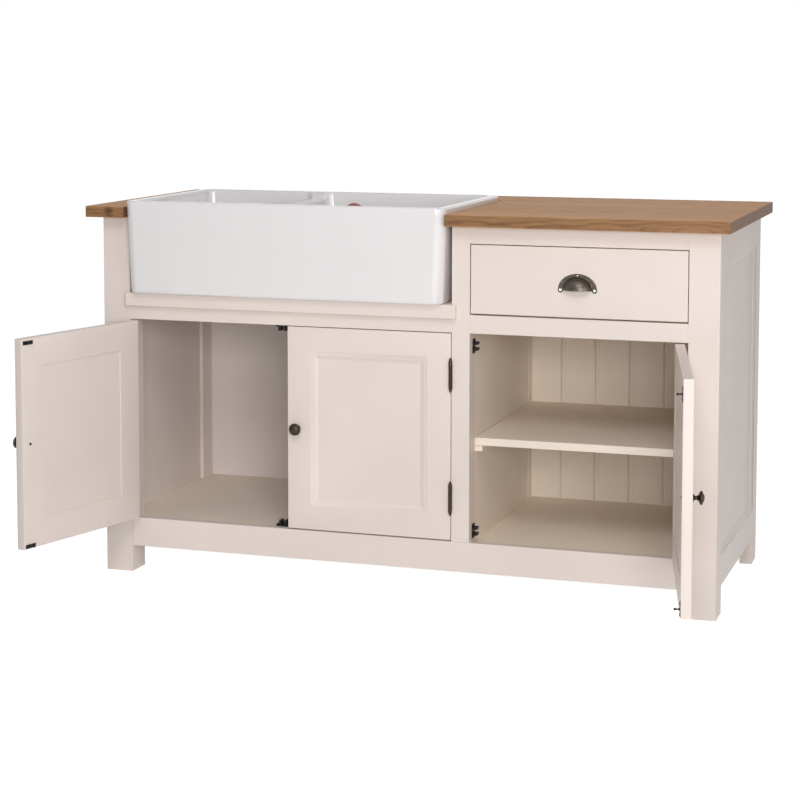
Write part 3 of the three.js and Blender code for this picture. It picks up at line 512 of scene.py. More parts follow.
# ---- Sink bearers and drawer runners ---------------------------------------------------------
# Unpainted softwood lengths: two bearers carry the sink's ends, two runners carry the drawer.
def solid_wood(name, light, dark, stave, ring, lie, gloss=0.5, painted_edge_shade=0.0, knots=()):
    """Solid timber sawn along x. stave is the glued boards' width and ring the growth rings'
    spacing, in metres. lie is how far the rings wander. Each stave has its own heart.
    painted_edge_shade is how much darker the upright faces are painted than the top: painted
    shade for the less light they get, partly also the sawn edges' deeper oiling; knots are
    (centre, radius) pairs."""
    look, tree, shader = new_look(name)

    def maths(operation, *values):
        inputs = dict(enumerate(values))
        return add_node(tree, "ShaderNodeMath", inputs, operation=operation).outputs[0]

    def split(vector):
        return add_node(tree, "ShaderNodeSeparateXYZ", {0: vector}).outputs

    kinds = ("ADD", "SUBTRACT", "MULTIPLY", "MULTIPLY_ADD")
    plus, minus, times, times_plus = (partial(maths, kind) for kind in kinds)

    place = add_node(tree, "ShaderNodeTexCoord").outputs["Object"]
    along, across, up = split(place)
    number = maths("FLOOR", maths("DIVIDE", across, stave))
    chance = add_node(tree, "ShaderNodeTexWhiteNoise", noise_dimensions="1D")
    feed(chance, {"W": number})
    picked = add_node(tree, "ShaderNodeSeparateColor", {0: chance.outputs["Color"]})
    red, green, blue = picked.outputs

    knot = 0.0
    for centre, radius in knots:
        ends = {0: place, 1: centre}
        away = add_node(tree, "ShaderNodeVectorMath", operation="DISTANCE")
        feed(away, ends)
        near = spread(tree, away.outputs["Value"], 0.3 * radius, 1.6 * radius, 1, 0)
        knot = plus(near, knot)

    # The rings run about a heart that lies under each stave, at its own place.
    heart = times(plus(number, times_plus(red, 1.2, -0.1)), stave)
    sway = times(minus(noise(tree, (2.6, 3.5, 3.5), 2), 0.5), lie)
    rock = times(minus(noise(tree, (16, 34, 34), 3), 0.5), lie * 0.2)
    side = plus(minus(across, heart), plus(sway, rock))
    rise = plus(up, times_plus(green, -0.06, -0.85))
    rise = plus(plus(rise, sway), times(knot, 0.02))
    reach = maths("SQRT", plus(times(side, side), times(rise, rise)))
    phase = times(plus(reach, times(blue, 0.02)), 2 * math.pi / ring)
    late = maths("POWER", times_plus(maths("SINE", phase), 0.5, 0.5), 3.0)
    fibre = spread(tree, noise(tree, (26, 640, 640), 4, 0.62), 0.32, 0.72)
    streak = spread(tree, noise(tree, (9, 190, 190), 4, 0.66), 0.38, 0.66)
    broad = spread(tree, noise(tree, (2.6, 46, 46), 3, 0.6), 0.34, 0.68)
    grain = times_plus(late, 0.30, times(fibre, 0.16))
    grain = times_plus(streak, 0.36, times_plus(broad, 0.18, grain))
    grain = maths("MAXIMUM", grain, times(knot, 1.15))
    tone = colour_mix(tree, grain, light, dark)
    fleck = spread(tree, noise(tree, (13, 150, 150), 2), 0.66, 0.76, 0, 0.3)
    tone = colour_mix(tree, fleck, tone, tuple(min(1, c * 1.5) for c in light))

    # End grain is greyer. The upright faces are darkened by painted shade for the less light they
    # get than the top, and partly for the sawn edges' deeper oiling.
    facing = add_node(tree, "ShaderNodeNewGeometry").outputs["Normal"]
    end_on, _, level = split(facing)
    end_grey = tuple(0.5 * c + 0.5 * sum(dark) / 3 for c in dark)
    end_share = 0.45 if painted_edge_shade else 0.1
    tone = colour_mix(tree, times(maths("ABSOLUTE", end_on), end_share), tone, end_grey)
    upright = minus(1.0, maths("ABSOLUTE", level))
    # Each stave's own tone, times the painted shade on the upright faces.
    shade = times(times_plus(blue, 0.22, 0.87), times_plus(upright, -painted_edge_shade, 1.0))
    tinted = {"Saturation": 1.0, "Value": shade, "Color": tone}
    tone = add_node(tree, "ShaderNodeHueSaturation", tinted).outputs[0]
    glue = maths("ABSOLUTE", minus(maths("FRACT", maths("DIVIDE", across, stave)), 0.5))
    seam = spread(tree, glue, 0.5 - 0.5 * MM / stave, 0.5)
    pores = times_plus(fibre, -0.55, times(streak, -0.5))
    feed(shader, {
        "Base Color": colour_mix(tree, times(seam, 0.5), tone, tuple(c * 0.5 for c in dark)),
        "Roughness": spread(tree, fibre, 0, 1, gloss - 0.07, gloss + 0.1),
        "Specular IOR Level": 0.3,
        "Normal": bumped(tree, minus(pores, seam), 0.4, 0.0006),
    })
    return look


pale, ringed = (0.66, 0.47, 0.27), (0.47, 0.29, 0.14)
softwood = solid_wood("bare_softwood", pale, ringed, 0.145, 0.008, 0.05, 0.6)
for node in ("sink_bearer_left", "sink_bearer_right", "drawer_runner_left", "drawer_runner_right"):
    fit(board(f"softwood_{node}", *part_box(node), softwood), "cabinet", "raw_wood", node)


# ---- Worktop ---------------------------------------------------------------------------------
# One solid slab, 27 mm thick, glued up from broad staves that run the unit's length, oiled to a
# warm brown. It is cut away round the sink and open at the sink's front.
TOP_LIGHT = (0.74, 0.395, 0.170)
TOP_DARK = (0.22, 0.090, 0.034)
TOP_ROUND = 1.9 * MM
SINK_GAP = 1 * MM
SINK_BACK_GAP = 4 * MM
top_low, top_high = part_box("worktop")
left_knot = ((top_low.x + 62 * MM, top_low.y, top_low.z + 14 * MM), 13 * MM)
face_knot = ((top_high.x - 330 * MM, top_low.y + 210 * MM, top_high.z), 9 * MM)
knots = (left_knot, face_knot)
# Stave width, ring spacing, lie, gloss, and the painted shade on the upright edges.
figure = (0.132, 0.0085, 0.085, 0.56, 0.54)
oiled_top = solid_wood("oiled_worktop", TOP_LIGHT, TOP_DARK, *figure, knots)
sink_low, sink_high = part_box("sink")
cut_left = sink_low.x - SINK_GAP
cut_right = sink_high.x + SINK_GAP
cut_back = sink_high.y + SINK_BACK_GAP
top_outline = [
    (top_low.x, top_low.y), (cut_left, top_low.y), (cut_left, cut_back), (cut_right, cut_back),
    (cut_right, top_low.y), (top_high.x, top_low.y),
    (top_high.x, top_high.y), (top_low.x, top_high.y),
]
made = run("oiled_worktop", top_outline, "z", top_low.z, top_high.z, oiled_top, TOP_ROUND)
fit(made, "cabinet", "worktop_wood", "worktop")


# ---- Sink ------------------------------------------------------------------------------------
# A glazed fireclay sink, 802 mm wide, with two bowls. Its walls lean in a little towards the
# base, every edge is rounded by the thick glaze, and the middle wall stands lower than the rim.
WALL = 25 * MM
DRAFT = 8 * MM
FRONT_SHARE = 0.7
OUTER_CORNER = 25 * MM
RIM_ROUND = 5.5 * MM
RIM_CORNER_LOSS = 0.6
FOOT_ROUND = 8 * MM
FOOT_TUCK = 6.8 * MM
FOOT_CORNER_LOSS = 6 * MM
BOWL_CORNER = 20 * MM
BOWL_CORNER_LOSS = 3 * MM
COVE_CORNER_LOSS = 9 * MM
BOWL_LEAN = 11.2 * MM
BOWL_DEEP = 26 * MM
BOWL_ROUND = 8 * MM
BOWL_ROUND_OUT = 7.2 * MM
BOWL_COVE = 34 * MM
BOWL_COVE_IN = 30 * MM
BOWL_FALL = 3 * MM
MIDDLE_WALL = 40 * MM
MIDDLE_DROP = 45 * MM
DIP_BESIDE = (4 * MM, 42 * MM)
DIP_ALONG = (2 * MM, 46 * MM)
MIDDLE_WALL_TO_LEFT = 69 * MM
SEAT_RADIUS = 44 * MM
SEAT_DEEP = 3 * MM
SEAT_EDGE = 3 * MM
WASTE_RADIUS = 30 * MM
CORNER_STEPS = 12
RIM_STEP = 7 * MM
RIM_COLUMNS = 9
RIM_ROWS = 70
RIM_FROM_BOWL = 3 * MM
RIM_FROM_EDGE = 9 * MM
middle_x = (sink_low.x + sink_high.x) / 2 - MIDDLE_WALL_TO_LEFT
bowl_front = sink_low.y + WALL
bowl_back = sink_high.y - WALL
bowl_floor = sink_low.z + BOWL_DEEP
waste_y = (bowl_front + bowl_back) / 2
bowl_spans = [
    (sink_low.x + WALL, middle_x - MIDDLE_WALL / 2),
    (middle_x + MIDDLE_WALL / 2, sink_high.x - WALL),
]


def arc(start, end, steps):
    """The cosine and sine at even steps from one angle to another, in degrees."""
    turns = [math.radians(start + (end - start) * i / steps) for i in range(steps + 1)]
    return [(math.cos(turn), math.sin(turn)) for turn in turns]


def round_ring(x0, x1, y0, y1, radius):
    """A level rectangle with round corners, as (x, y) points."""
    points = []
    for cx, cy, start in (
        (x1 - radius, y1 - radius, 0),
        (x0 + radius, y1 - radius, 90),
        (x0 + radius, y0 + radius, 180),
        (x1 - radius, y0 + radius, 270),
    ):
        corner = arc(start, start + 90, CORNER_STEPS)
        points += [(cx + radius * across, cy + radius * up) for across, up in corner]
    return points


def ease_in(value, low, high):
    """0 below low, 1 above high, and a smooth rise between."""
    t = min(1, max(0, (value - low) / (high - low)))
    return t * t * (3 - 2 * t)


def rim_height(x, y):
    """The top of the rim, which dips along the middle wall."""
    beside = 1 - ease_in(abs(x - middle_x) - MIDDLE_WALL / 2, *DIP_BESIDE)
    between = ease_in(y - bowl_front, *DIP_ALONG) * ease_in(bowl_back - y, *DIP_ALONG)
    return sink_high.z - MIDDLE_DROP * beside * between


def circle_under(ring, centre, radius):
    """The ring's points moved onto a circle about the centre."""
    moved = []
    for x, y in ring:
        turn = math.atan2(y - centre[1], x - centre[0])
        moved.append((centre[0] + radius * math.cos(turn), centre[1] + radius * math.sin(turn)))
    return moved


def skin(rings, points, faces):
    """Adds rings of 3-D points and the walls between them; gives back each ring's first index."""
    count = len(rings[0])
    starts = [len(points) + i * count for i in range(len(rings))]
    for ring in rings:
        points.extend(ring)
    faces.extend(walls(starts, count))
    return starts


def outer_ring(inset, corner, z):
    """A level ring round the outside; the front wall leans in less than the others."""
    front = sink_low.y + inset * FRONT_SHARE
    ring = round_ring(sink_low.x + inset, sink_high.x - inset, front, sink_high.y - inset, corner)
    return [(x, y, z) for x, y in ring]


def outer_rings():
    """From the base's edge up the outside and over onto the rim."""
    rings = []
    for across, up in arc(0, 90, 5):
        tuck = 1 - up
        z = sink_low.z + FOOT_ROUND * (1 - across)
        corner = OUTER_CORNER - FOOT_CORNER_LOSS * tuck
        rings.append(outer_ring(DRAFT + FOOT_TUCK * tuck, corner, z))
    for share in (0.3, 0.6, 0.85):
        z = sink_low.z + share * (sink_high.z - sink_low.z)
        rings.append(outer_ring(DRAFT * (1 - share), OUTER_CORNER, z))
    for across, up in arc(0, 90, 6):
        inset = RIM_ROUND * (1 - across)
        z = sink_high.z - RIM_ROUND * (1 - up)
        rings.append(outer_ring(inset, OUTER_CORNER - RIM_CORNER_LOSS * inset, z))
    return rings


def bowl_rings(span):
    """From the rim over into the bowl, down to its floor, and on through the waste hole."""
    x0, x1 = span
    centre = ((x0 + x1) / 2, waste_y)
    cove_top = bowl_floor + BOWL_COVE
    rings = []

    def level(inset, corner):
        return round_ring(x0 + inset, x1 - inset, bowl_front + inset, bowl_back - inset, corner)

    for across, up in arc(0, 90, 6):
        inset = -BOWL_ROUND_OUT * (1 - up)
        fall = BOWL_ROUND * (1 - across)
        flat = level(inset, BOWL_CORNER - inset)
        rings.append([(x, y, rim_height(x, y) - fall) for x, y in flat])
    for share in (0.25, 0.5, 0.75, 1.0):
        flat = level(BOWL_LEAN * share, BOWL_CORNER - BOWL_CORNER_LOSS * share)
        tops = [(rim_height(x, y) - BOWL_ROUND) * (1 - share) for x, y in flat]
        rings.append([(x, y, top + cove_top * share) for (x, y), top in zip(flat, tops)])
    for across, up in arc(0, 90, 7)[1:]:
        tuck = 1 - across
        z = cove_top - (BOWL_COVE - BOWL_FALL) * up
        corner = BOWL_CORNER - BOWL_CORNER_LOSS - COVE_CORNER_LOSS * tuck
        flat = level(BOWL_LEAN + BOWL_COVE_IN * tuck, corner)
        rings.append([(x, y, z) for x, y in flat])
    seat = circle_under(flat, centre, SEAT_RADIUS + SEAT_EDGE)
    for share in (0.25, 0.5, 0.75, 1.0):
        z = bowl_floor + BOWL_FALL * (1 - share)
        rings.append([
            (a * (1 - share) + c * share, b * (1 - share) + d * share, z)
            for (a, b), (c, d) in zip(flat, seat)
        ])
    for radius, z in (
        (SEAT_RADIUS + 0.5 * MM, bowl_floor - 0.8 * MM),
        (SEAT_RADIUS, bowl_floor - SEAT_DEEP),
        (WASTE_RADIUS + 1 * MM, bowl_floor - SEAT_DEEP),
        (WASTE_RADIUS, bowl_floor - SEAT_DEEP - 1 * MM),
        (WASTE_RADIUS, sink_low.z),
    ):
        rings.append([(x, y, z) for x, y in circle_under(flat, centre, radius)])
    return rings


def inside(point, ring):
    """Whether a point is inside a closed ring."""
    x, y = point[0], point[1]
    found = False
    for i in range(len(ring)):
        (ax, ay), (bx, by) = ring[i - 1][:2], ring[i][:2]
        if (ay > y) != (by > y) and x < (bx - ax) * (y - ay) / (by - ay) + ax:
            found = not found
    return found


def web(points, faces, outline, holes, height, extra=()):
    """Fills between an outline and holes, all already among the points, at the given height."""
    flat = []
    index = []
    edges = []
    rings = []
    for ring in [outline, *holes]:
        first = len(flat)
        rings.append([points[k][:2] for k in ring])
        flat += [Vector(spot) for spot in rings[-1]]
        index += ring
        edges += [(first + i, first + (i + 1) % len(ring)) for i in range(len(ring))]
    for x, y in extra:
        flat.append(Vector((x, y)))
        index.append(len(points))
        points.append((x, y, height(x, y)))
    spots, _, triangles, origin, _, _ = delaunay_2d_cdt(flat, edges, [], 0, 1e-7)
    for triangle in triangles:
        middle = sum((spots[i] for i in triangle), Vector((0, 0))) / 3
        if inside(middle, rings[0]) and not any(inside(middle, ring) for ring in rings[1:]):
            faces.append(tuple(index[origin[i][0]] for i in triangle))


def rim_points(tops):
    """Points over the rim near the middle wall, clear of the bowls' rings, to carry its dip."""
    found = []
    for i in range(-RIM_COLUMNS, RIM_COLUMNS + 1):
        for j in range(1, RIM_ROWS):
            x, y = middle_x + i * RIM_STEP, sink_low.y + j * RIM_STEP
            near = min(math.dist((x, y), spot) for ring in tops for spot in ring)
            clear = near > RIM_FROM_BOWL and not any(inside((x, y), ring) for ring in tops)
            if clear and sink_low.y + RIM_FROM_EDGE < y < sink_high.y - RIM_FROM_EDGE:
                found.append((x, y))
    return found


def glazed_sink():
    """The outside and both bowls, joined by the rim above and by the base below."""
    points = []
    faces = []

    def ring_from(start):
        return list(range(start, start + 4 * (CORNER_STEPS + 1)))

    outer = skin(outer_rings(), points, faces)
    bowls = [skin(bowl_rings(span), points, faces) for span in bowl_spans]
    tops = [ring_from(starts[0]) for starts in bowls]
    bottoms = [ring_from(starts[-1]) for starts in bowls]
    extra = rim_points([[points[k][:2] for k in ring] for ring in tops])
    web(points, faces, ring_from(outer[-1]), tops, rim_height, extra)
    web(points, faces, ring_from(outer[0]), bottoms, lambda x, y: sink_low.z)
    return points, faces


white_glaze, tree, shader = new_look("white_glaze")
GLAZE_WHITE = (0.80, 0.768, 0.770)
cloud = spread(tree, noise(tree, (4, 4, 4), 2), 0.3, 0.7)
milky = tuple(c * 0.985 for c in GLAZE_WHITE)
feed(shader, {
    "Base Color": colour_mix(tree, cloud, milky, GLAZE_WHITE),
    "Roughness": spread(tree, noise(tree, (240, 240, 240), 2), 0.3, 0.7, 0.10, 0.16),
    "IOR": 1.5,
    "Coat Weight": 0.5,
    "Coat Roughness": 0.06,
    "Normal": bumped(tree, noise(tree, (14, 14, 14), 2), 0.12, 0.002),
})
made = mesh_piece("glazed_sink", glazed_sink(), white_glaze, 50)
fit(made, "cabinet", "glazed_ceramic", "sink")


# ---- Wastes and overflow ---------------------------------------------------------------------
# Each bowl drains through a polished waste with a pierced dish, held by a nut under the sink. A
# bronzed ring lines the round overflow in the right bowl's back wall, with a black disc behind it
# as painted shadow in the hole.
def polished(name, colour, gloss, metal=1.0, mottle=0.1):
    """Metal with a little unevenness in tone and gloss."""
    look, tree, shader = new_look(name)
    patch = spread(tree, noise(tree, (90, 90, 90), 4, 0.6), 0.3, 0.7)
    dull = tuple(c * (1 - mottle) for c in colour)
    feed(shader, {
        "Base Color": colour_mix(tree, patch, dull, colour),
        "Roughness": spread(tree, patch, 0, 1, gloss + 0.07, gloss),
        "Metallic": metal,
        "Normal": bumped(tree, noise(tree, (420, 420, 420), 3), 0.12, 0.0004),
    })
    return look


def circle(radius, steps, centre=(0, 0)):
    turns = arc(0, 360, steps)[:-1]
    return [(centre[0] + radius * across, centre[1] + radius * up) for across, up in turns]


def lathe(profile, steps, unit=1.0):
    """A turned shape about the z axis from (radius, height) points, given in the unit."""
    points = []
    for radius, height in profile:
        points += [(x, y, height * unit) for x, y in circle(radius * unit, steps)]
    return points, walls(range(0, len(points), steps), steps)


def moved(geometry, matrix):
    """The same shape carried by a matrix."""
    points, faces = geometry
    return [tuple(matrix @ Vector(p)) for p in points], faces


def together(*geometries):
    """Several shapes as one."""
    points = []
    faces = []
    for more_points, more_faces in geometries:
        start = len(points)
        points.extend(more_points)
        faces.extend(tuple(start + i for i in face) for face in more_faces)
    return points, faces


def pierced_dish(radius, thickness, hole, rows):
    """A round plate with rings of round holes; rows are (ring radius, number of holes)."""
    centres = [(0, 0)]
    for ring, number in rows:
        centres += circle(ring, number)
    outlines = [circle(radius, 48)] + [circle(hole, 12, centre) for centre in centres]
    points = []
    faces = []
    layers = []
    for z in (0, thickness):
        rings = []
        for outline in outlines:
            rings.append(list(range(len(points), len(points) + len(outline))))
            points.extend((x, y, z) for x, y in outline)
        web(points, faces, rings[0], rings[1:], lambda x, y: z)
        layers.append(rings)
    for low_ring, high_ring in zip(*layers):
        faces += walls((low_ring[0], high_ring[0]), len(low_ring))
    return points, faces


# Profiles are in mm; the nut's and the barrel's heights are reckoned from the seat in the bowl.
bright = polished("bright_metal", (0.72, 0.73, 0.74), 0.12)
seat_z = bowl_floor - SEAT_DEEP
top = (sink_low.z - seat_z) / MM - 0.3
flange = [
    (28, 0.3), (42.6, 0.3), (43, 1.2), (42.4, 2.6), (40.8, 3.2), (38.6, 2.9), (35, 1.6),
    (30, -1.4), (28.5, -4), (28, -8), (28, 0.3),
]
DISH_RADIUS = 28.2 * MM
DISH_THICK = 1.6 * MM
DISH_HOLE = 2.6 * MM
DISH_ROWS = ((10 * MM, 6), (20 * MM, 12))
DISH_DOWN = 5 * MM
dish = pierced_dish(DISH_RADIUS, DISH_THICK, DISH_HOLE, DISH_ROWS)
dish = moved(dish, Matrix.Translation((0, 0, -DISH_DOWN)))
barrel = [(28.3, -4), (28.3, top - 2), (25.5, top - 2), (25.5, -4), (28.3, -4)]
nut = [(28.3, top), (33.5, top), (34, top - 1), (34, top - 11), (33, top - 12), (23.2, top - 12)]
THREADS = 13
THREAD_PITCH = 2.0
for i in range(THREADS):
    turn = top - 12 - THREAD_PITCH * i
    nut += [(23.2, turn - 0.4), (23.9, turn - 1.1), (23.2, turn - 1.8)]
nut += [(23, top - 38), (20.5, top - 38), (20.5, top - 3), (28.3, top)]
waste = together(lathe(flange, 64, MM), dish, lathe(barrel, 48, MM), lathe(nut, 48, MM))
for name, span in zip(("left", "right"), bowl_spans):
    place = Matrix.Translation(((span[0] + span[1]) / 2, waste_y, seat_z))
    made = mesh_piece(f"polished_waste_{name}", moved(waste, place), bright, 35)
    fit(made, "cabinet", "bright_metal", f"waste_{name}")

OVERFLOW_FROM_MIDDLE = 92 * MM
OVERFLOW_DOWN = 57 * MM
plum_bronze = polished("plum_bronze", (0.34, 0.12, 0.13), 0.28, 0.85, 0.2)
overflow_ring = [
    (21.5, -9), (21.5, 1.2), (22.4, 2.2), (26.4, 2.6), (29.6, 1.8), (30.3, 0), (26, -1), (23.2, -9),
    (21.5, -9),
]
overflow_cup = [(0, -1.5), (21.6, -1.5), (21.6, 0.4), (20.8, -0.3), (0, -0.9), (0, -1.5)]
wall_tall = sink_high.z - BOWL_ROUND - bowl_floor - BOWL_COVE
wall_lean = math.atan2(BOWL_LEAN, wall_tall)
overflow_y = bowl_back - (OVERFLOW_DOWN - BOWL_ROUND) * math.tan(wall_lean)
spot = (middle_x + OVERFLOW_FROM_MIDDLE, overflow_y, sink_high.z - OVERFLOW_DOWN)
place = Matrix.Translation(spot) @ Matrix.Rotation(math.radians(90) - wall_lean, 4, "X")
made = mesh_piece("overflow_ring", moved(lathe(overflow_ring, 48, MM), place), plum_bronze, 40)
fit(made, "cabinet", "dark_bronze")
black_iron = polished("black_lacquer_and_painted_shadow", (0.016, 0.014, 0.013), 0.38, 0.6, 0.3)
# A black disc just behind the ring: painted shadow for the dark of the overflow hole.
made = mesh_piece("overflow_painted_shadow_disc", moved(lathe(overflow_cup, 32, MM), place), black_iron, 40)
fit(made, "cabinet", "black_iron")


# ---- Doors -----------------------------------------------------------------------------------
# Three framed doors, 22 mm thick: 58 mm stiles and rails with a sloped moulding on the face, and a
# flat panel grooved into them. Each is made closed and then swung to where it stands.
DOOR_THICK = 22 * MM
DOOR_GAP = 2 * MM
STILE = 58 * MM
BACK_STILE = 67 * MM
PANEL_SET_BACK = 8 * MM
PANEL_THICK = 12 * MM
PANEL_GROOVE = 7 * MM
GROOVE_PLAY = 0.3 * MM
DOOR_ROUND = 1.6 * MM
DOOR_LIP = 0.5 * MM
middle_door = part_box("door_middle_frame")
door_z0 = middle_door[0].z
door_z1 = middle_door[1].z
pair_width = middle_door[1].x - middle_door[0].x
joints = {joint["name"]: joint for joint in frame["joints"]}


def door_turn(door):
    """The turn about the hinge pins that takes the closed door to where it stands."""
    joint = joints[f"door_{door}_hinge"]
    low_turn, high_turn = joint["range_deg"]
    closed = {"left": high_turn, "middle": 0, "right": low_turn}[door]
    pin = Matrix.Translation(Vector(joint["pos_m"]))
    return pin @ Matrix.Rotation(math.radians(-closed), 4, "Z") @ pin.inverted()


def swing(piece, door):
    """Turns a piece made at the closed door to where the door stands."""
    piece.matrix_world = door_turn(door)
    bpy.context.view_layer.update()
    return piece


def swing_small(piece, door):
    """As swing, but the mesh itself turns, so that a round piece's box stays tight."""
    piece.data.transform(door_turn(door))
    piece.data.update()
    return piece


def door_section():
    """The frame's section as (inset from the edge, depth from the face), edges rounded."""
    groove_front, groove_back = SUNK, PANEL_SET_BACK + PANEL_THICK + GROOVE_PLAY
    turns = arc(0, 90, 3)
    corner = [(DOOR_ROUND * (1 - across), DOOR_ROUND * (1 - up)) for across, up in turns]
    points = [*corner, (STILE - DOOR_LIP, 0), (STILE, DOOR_LIP)]
    points += [(STILE + inset, depth) for inset, depth in moulding_curve()[1:]]
    points += [(STILE - PANEL_GROOVE, groove_front), (STILE - PANEL_GROOVE, groove_back)]
    points += [(BACK_STILE, groove_back), (BACK_STILE, DOOR_THICK - DOOR_LIP)]
    points.append((BACK_STILE - DOOR_LIP, DOOR_THICK))
    return points + [(inset, DOOR_THICK - depth) for inset, depth in reversed(corner)]


def door_frame(x0, x1):
    """The four mitred lengths, level rails and upright stiles, as one frame."""
    section = door_section()
    lower = ((x0, door_z0, 1, 1), (x1, door_z0, -1, 1))
    corners = (*lower, (x1, door_z1, -1, -1), (x0, door_z1, 1, -1))
    points = []
    for x, z, dx, dz in corners:
        for inset, depth in section:
            points.append((x + dx * inset, CARCASS_FRONT + depth, z + dz * inset))
    count = len(section)
    return points, walls((0, count, 2 * count, 3 * count, 0), count)


door_spans = {
    "left": (leg_fl[1].x + DOOR_GAP, leg_fl[1].x + DOOR_GAP + pair_width),
    "middle": (middle_door[0].x, middle_door[1].x),
    "right": (post_high.x + DOOR_GAP, leg_fr[0].x - DOOR_GAP),
}
for door, (x0, x1) in door_spans.items():
    made = mesh_piece(f"painted_door_{door}", door_frame(x0, x1), cream_upright, 28)
    fit(swing(made, door), f"door_{door}", "cream_paint", f"door_{door}_frame")
    edge = STILE - PANEL_GROOVE + 1 * MM
    low = (x0 + edge, CARCASS_FRONT + PANEL_SET_BACK, door_z0 + edge)
    high = (x1 - edge, CARCASS_FRONT + PANEL_SET_BACK + PANEL_THICK, door_z1 - edge)
    made = board(f"painted_panel_{door}", low, high, cream_upright, SIDE_ROUND)
    fit(swing(made, door), f"door_{door}", "cream_paint", f"door_{door}_panel")


# ---- Knobs -----------------------------------------------------------------------------------
# Turned bronzed knobs, 29 mm across: a small foot, a waisted neck, and a wide head with a raised
# ring and a low dome. Each is held from behind by one screw.
KNOB_INSET = 24 * MM
bronze = polished("dark_bronze", (0.060, 0.040, 0.031), 0.24, 0.85, 0.35)
knob_profile = [
    (0, 0), (8.6, 0), (9, 0.5), (8.8, 1.5), (7.4, 2.4), (5.6, 3.6), (4.5, 5.4), (4.2, 7.6),
    (4.6, 9.6), (5.8, 11.4), (8.2, 13), (11.4, 14.2), (13.5, 15.3), (14.4, 16.8), (14.3, 18.4),
    (13.4, 19.8), (12.1, 20.6), (11.1, 20.5), (10.5, 20), (10.0, 20.4), (8.9, 21.8), (7, 23),
    (4.6, 23.9), (2.3, 24.3), (0, 24.4),
]
CHEEK_POINTS = 11
KNOB_SCREW = (3.4 * MM, 1.2 * MM)


def screw_head(radius, height, slot_turn=0.0):
    """A slotted screw head: two half-round cheeks on a thin disc."""
    slot = radius * 0.16
    limit = math.degrees(math.acos(slot / radius))
    turns = arc(-limit, limit, CHEEK_POINTS - 1)
    disc = [(0, 0), (radius, 0), (radius * 0.98, height * 0.45), (0, height * 0.45)]
    parts = [lathe(disc, 20)]
    for side in (1, -1):
        outline = [(side * radius * 0.95 * across, radius * 0.95 * up) for across, up in turns]
        points = [(x, y, z) for z in (0, height * 0.7) for x, y in outline]
        points += [(side * slot + (x - side * slot) * 0.8, y * 0.8, height) for x, y in outline]
        starts = range(0, len(points), CHEEK_POINTS)
        ends = [tuple(range(start, start + CHEEK_POINTS)) for start in (starts[0], starts[-1])]
        parts.append((points, ends + walls(starts, CHEEK_POINTS)))
    return moved(together(*parts), Matrix.Rotation(slot_turn, 4, "Z"))


doorway_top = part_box("rail_under_sink")[0].z
knob_height = (lip_top + doorway_top) / 2
TOWARDS_FRONT = Matrix.Rotation(math.radians(90), 4, "X")
TOWARDS_BACK = Matrix.Rotation(math.radians(-90), 4, "X")
knob_x = {
    "left": door_spans["left"][1] - KNOB_INSET,
    "middle": door_spans["middle"][0] + KNOB_INSET,
    "right": door_spans["right"][0] + KNOB_INSET,
}
for door, x in knob_x.items():
    place = Matrix.Translation((x, CARCASS_FRONT, knob_height)) @ TOWARDS_FRONT
    knob = moved(lathe(knob_profile, 48, MM), place)
    made = swing_small(mesh_piece(f"bronze_knob_{door}", knob, bronze, 50), door)
    fit(made, f"door_{door}", "dark_bronze", f"knob_{door}")
    place = Matrix.Translation((x, CARCASS_FRONT + DOOR_THICK, knob_height)) @ TOWARDS_BACK
    screw = moved(screw_head(*KNOB_SCREW, 0.9), place)
    made = swing_small(mesh_piece(f"knob_screw_{door}", screw, bronze, 40), door)
    fit(made, f"door_{door}", "dark_bronze")


# ---- Hinges ----------------------------------------------------------------------------------
# Two small bronzed butt hinges to a door, 64 mm tall, with pointed finials. The leaves are let
# into the door's edge and the frame, three screws to each; only the barrels stand out in front.
PIN_OUT = 5.5 * MM
BARREL = 4.6 * MM
LEAF_HALF = 32 * MM
LEAF_REACH = 22.5 * MM
KNUCKLE_HALF = 11 * MM
KNUCKLE_GAP = 0.3 * MM
LEAF_INNER = 0.7 * MM
LEAF_OUTER = 2.2 * MM
KNUCKLE_ROUND = 0.25 * MM
FRAME_NECK = 0.6 * MM
DOOR_NECK = 3.4 * MM
LEAF_SCREW = (2.7 * MM, 0.35 * MM)
LEAF_SCREW_IN = 13.5 * MM
LEAF_SCREWS_APART = 22 * MM
finial = [
    (4.6, 0), (4.3, 1.1), (3.2, 2.1), (3.1, 2.9), (3.5, 3.8), (3.3, 5), (2.5, 6.4), (1.4, 7.8),
    (0.5, 8.7), (0, 9),
]


def hinge_fixed(side):
    """Both end knuckles with the finials, and the leaf on the frame's side."""
    profile = [(0, KNUCKLE_HALF), (BARREL - KNUCKLE_ROUND, KNUCKLE_HALF)]
    profile.append((BARREL, KNUCKLE_HALF + KNUCKLE_ROUND))
    profile += [(r * MM, LEAF_HALF + h * MM) for r, h in finial]
    parts = [lathe([(r, way * h) for r, h in profile], 24) for way in (1, -1)]
    parts += leaf(side, [(-LEAF_HALF, -KNUCKLE_HALF), (KNUCKLE_HALF, LEAF_HALF)], FRAME_NECK)
    return together(*parts)


def hinge_leaf(side):
    """The middle knuckle and the leaf on the door's side."""
    half = KNUCKLE_HALF - KNUCKLE_GAP
    edge, shoulder = BARREL - KNUCKLE_ROUND, half - KNUCKLE_ROUND
    lower = [(0, -half), (edge, -half), (BARREL, -shoulder)]
    knuckle = lower + [(r, -h) for r, h in reversed(lower)]
    return together(lathe(knuckle, 24), *leaf(-side, [(-half, half)], DOOR_NECK))


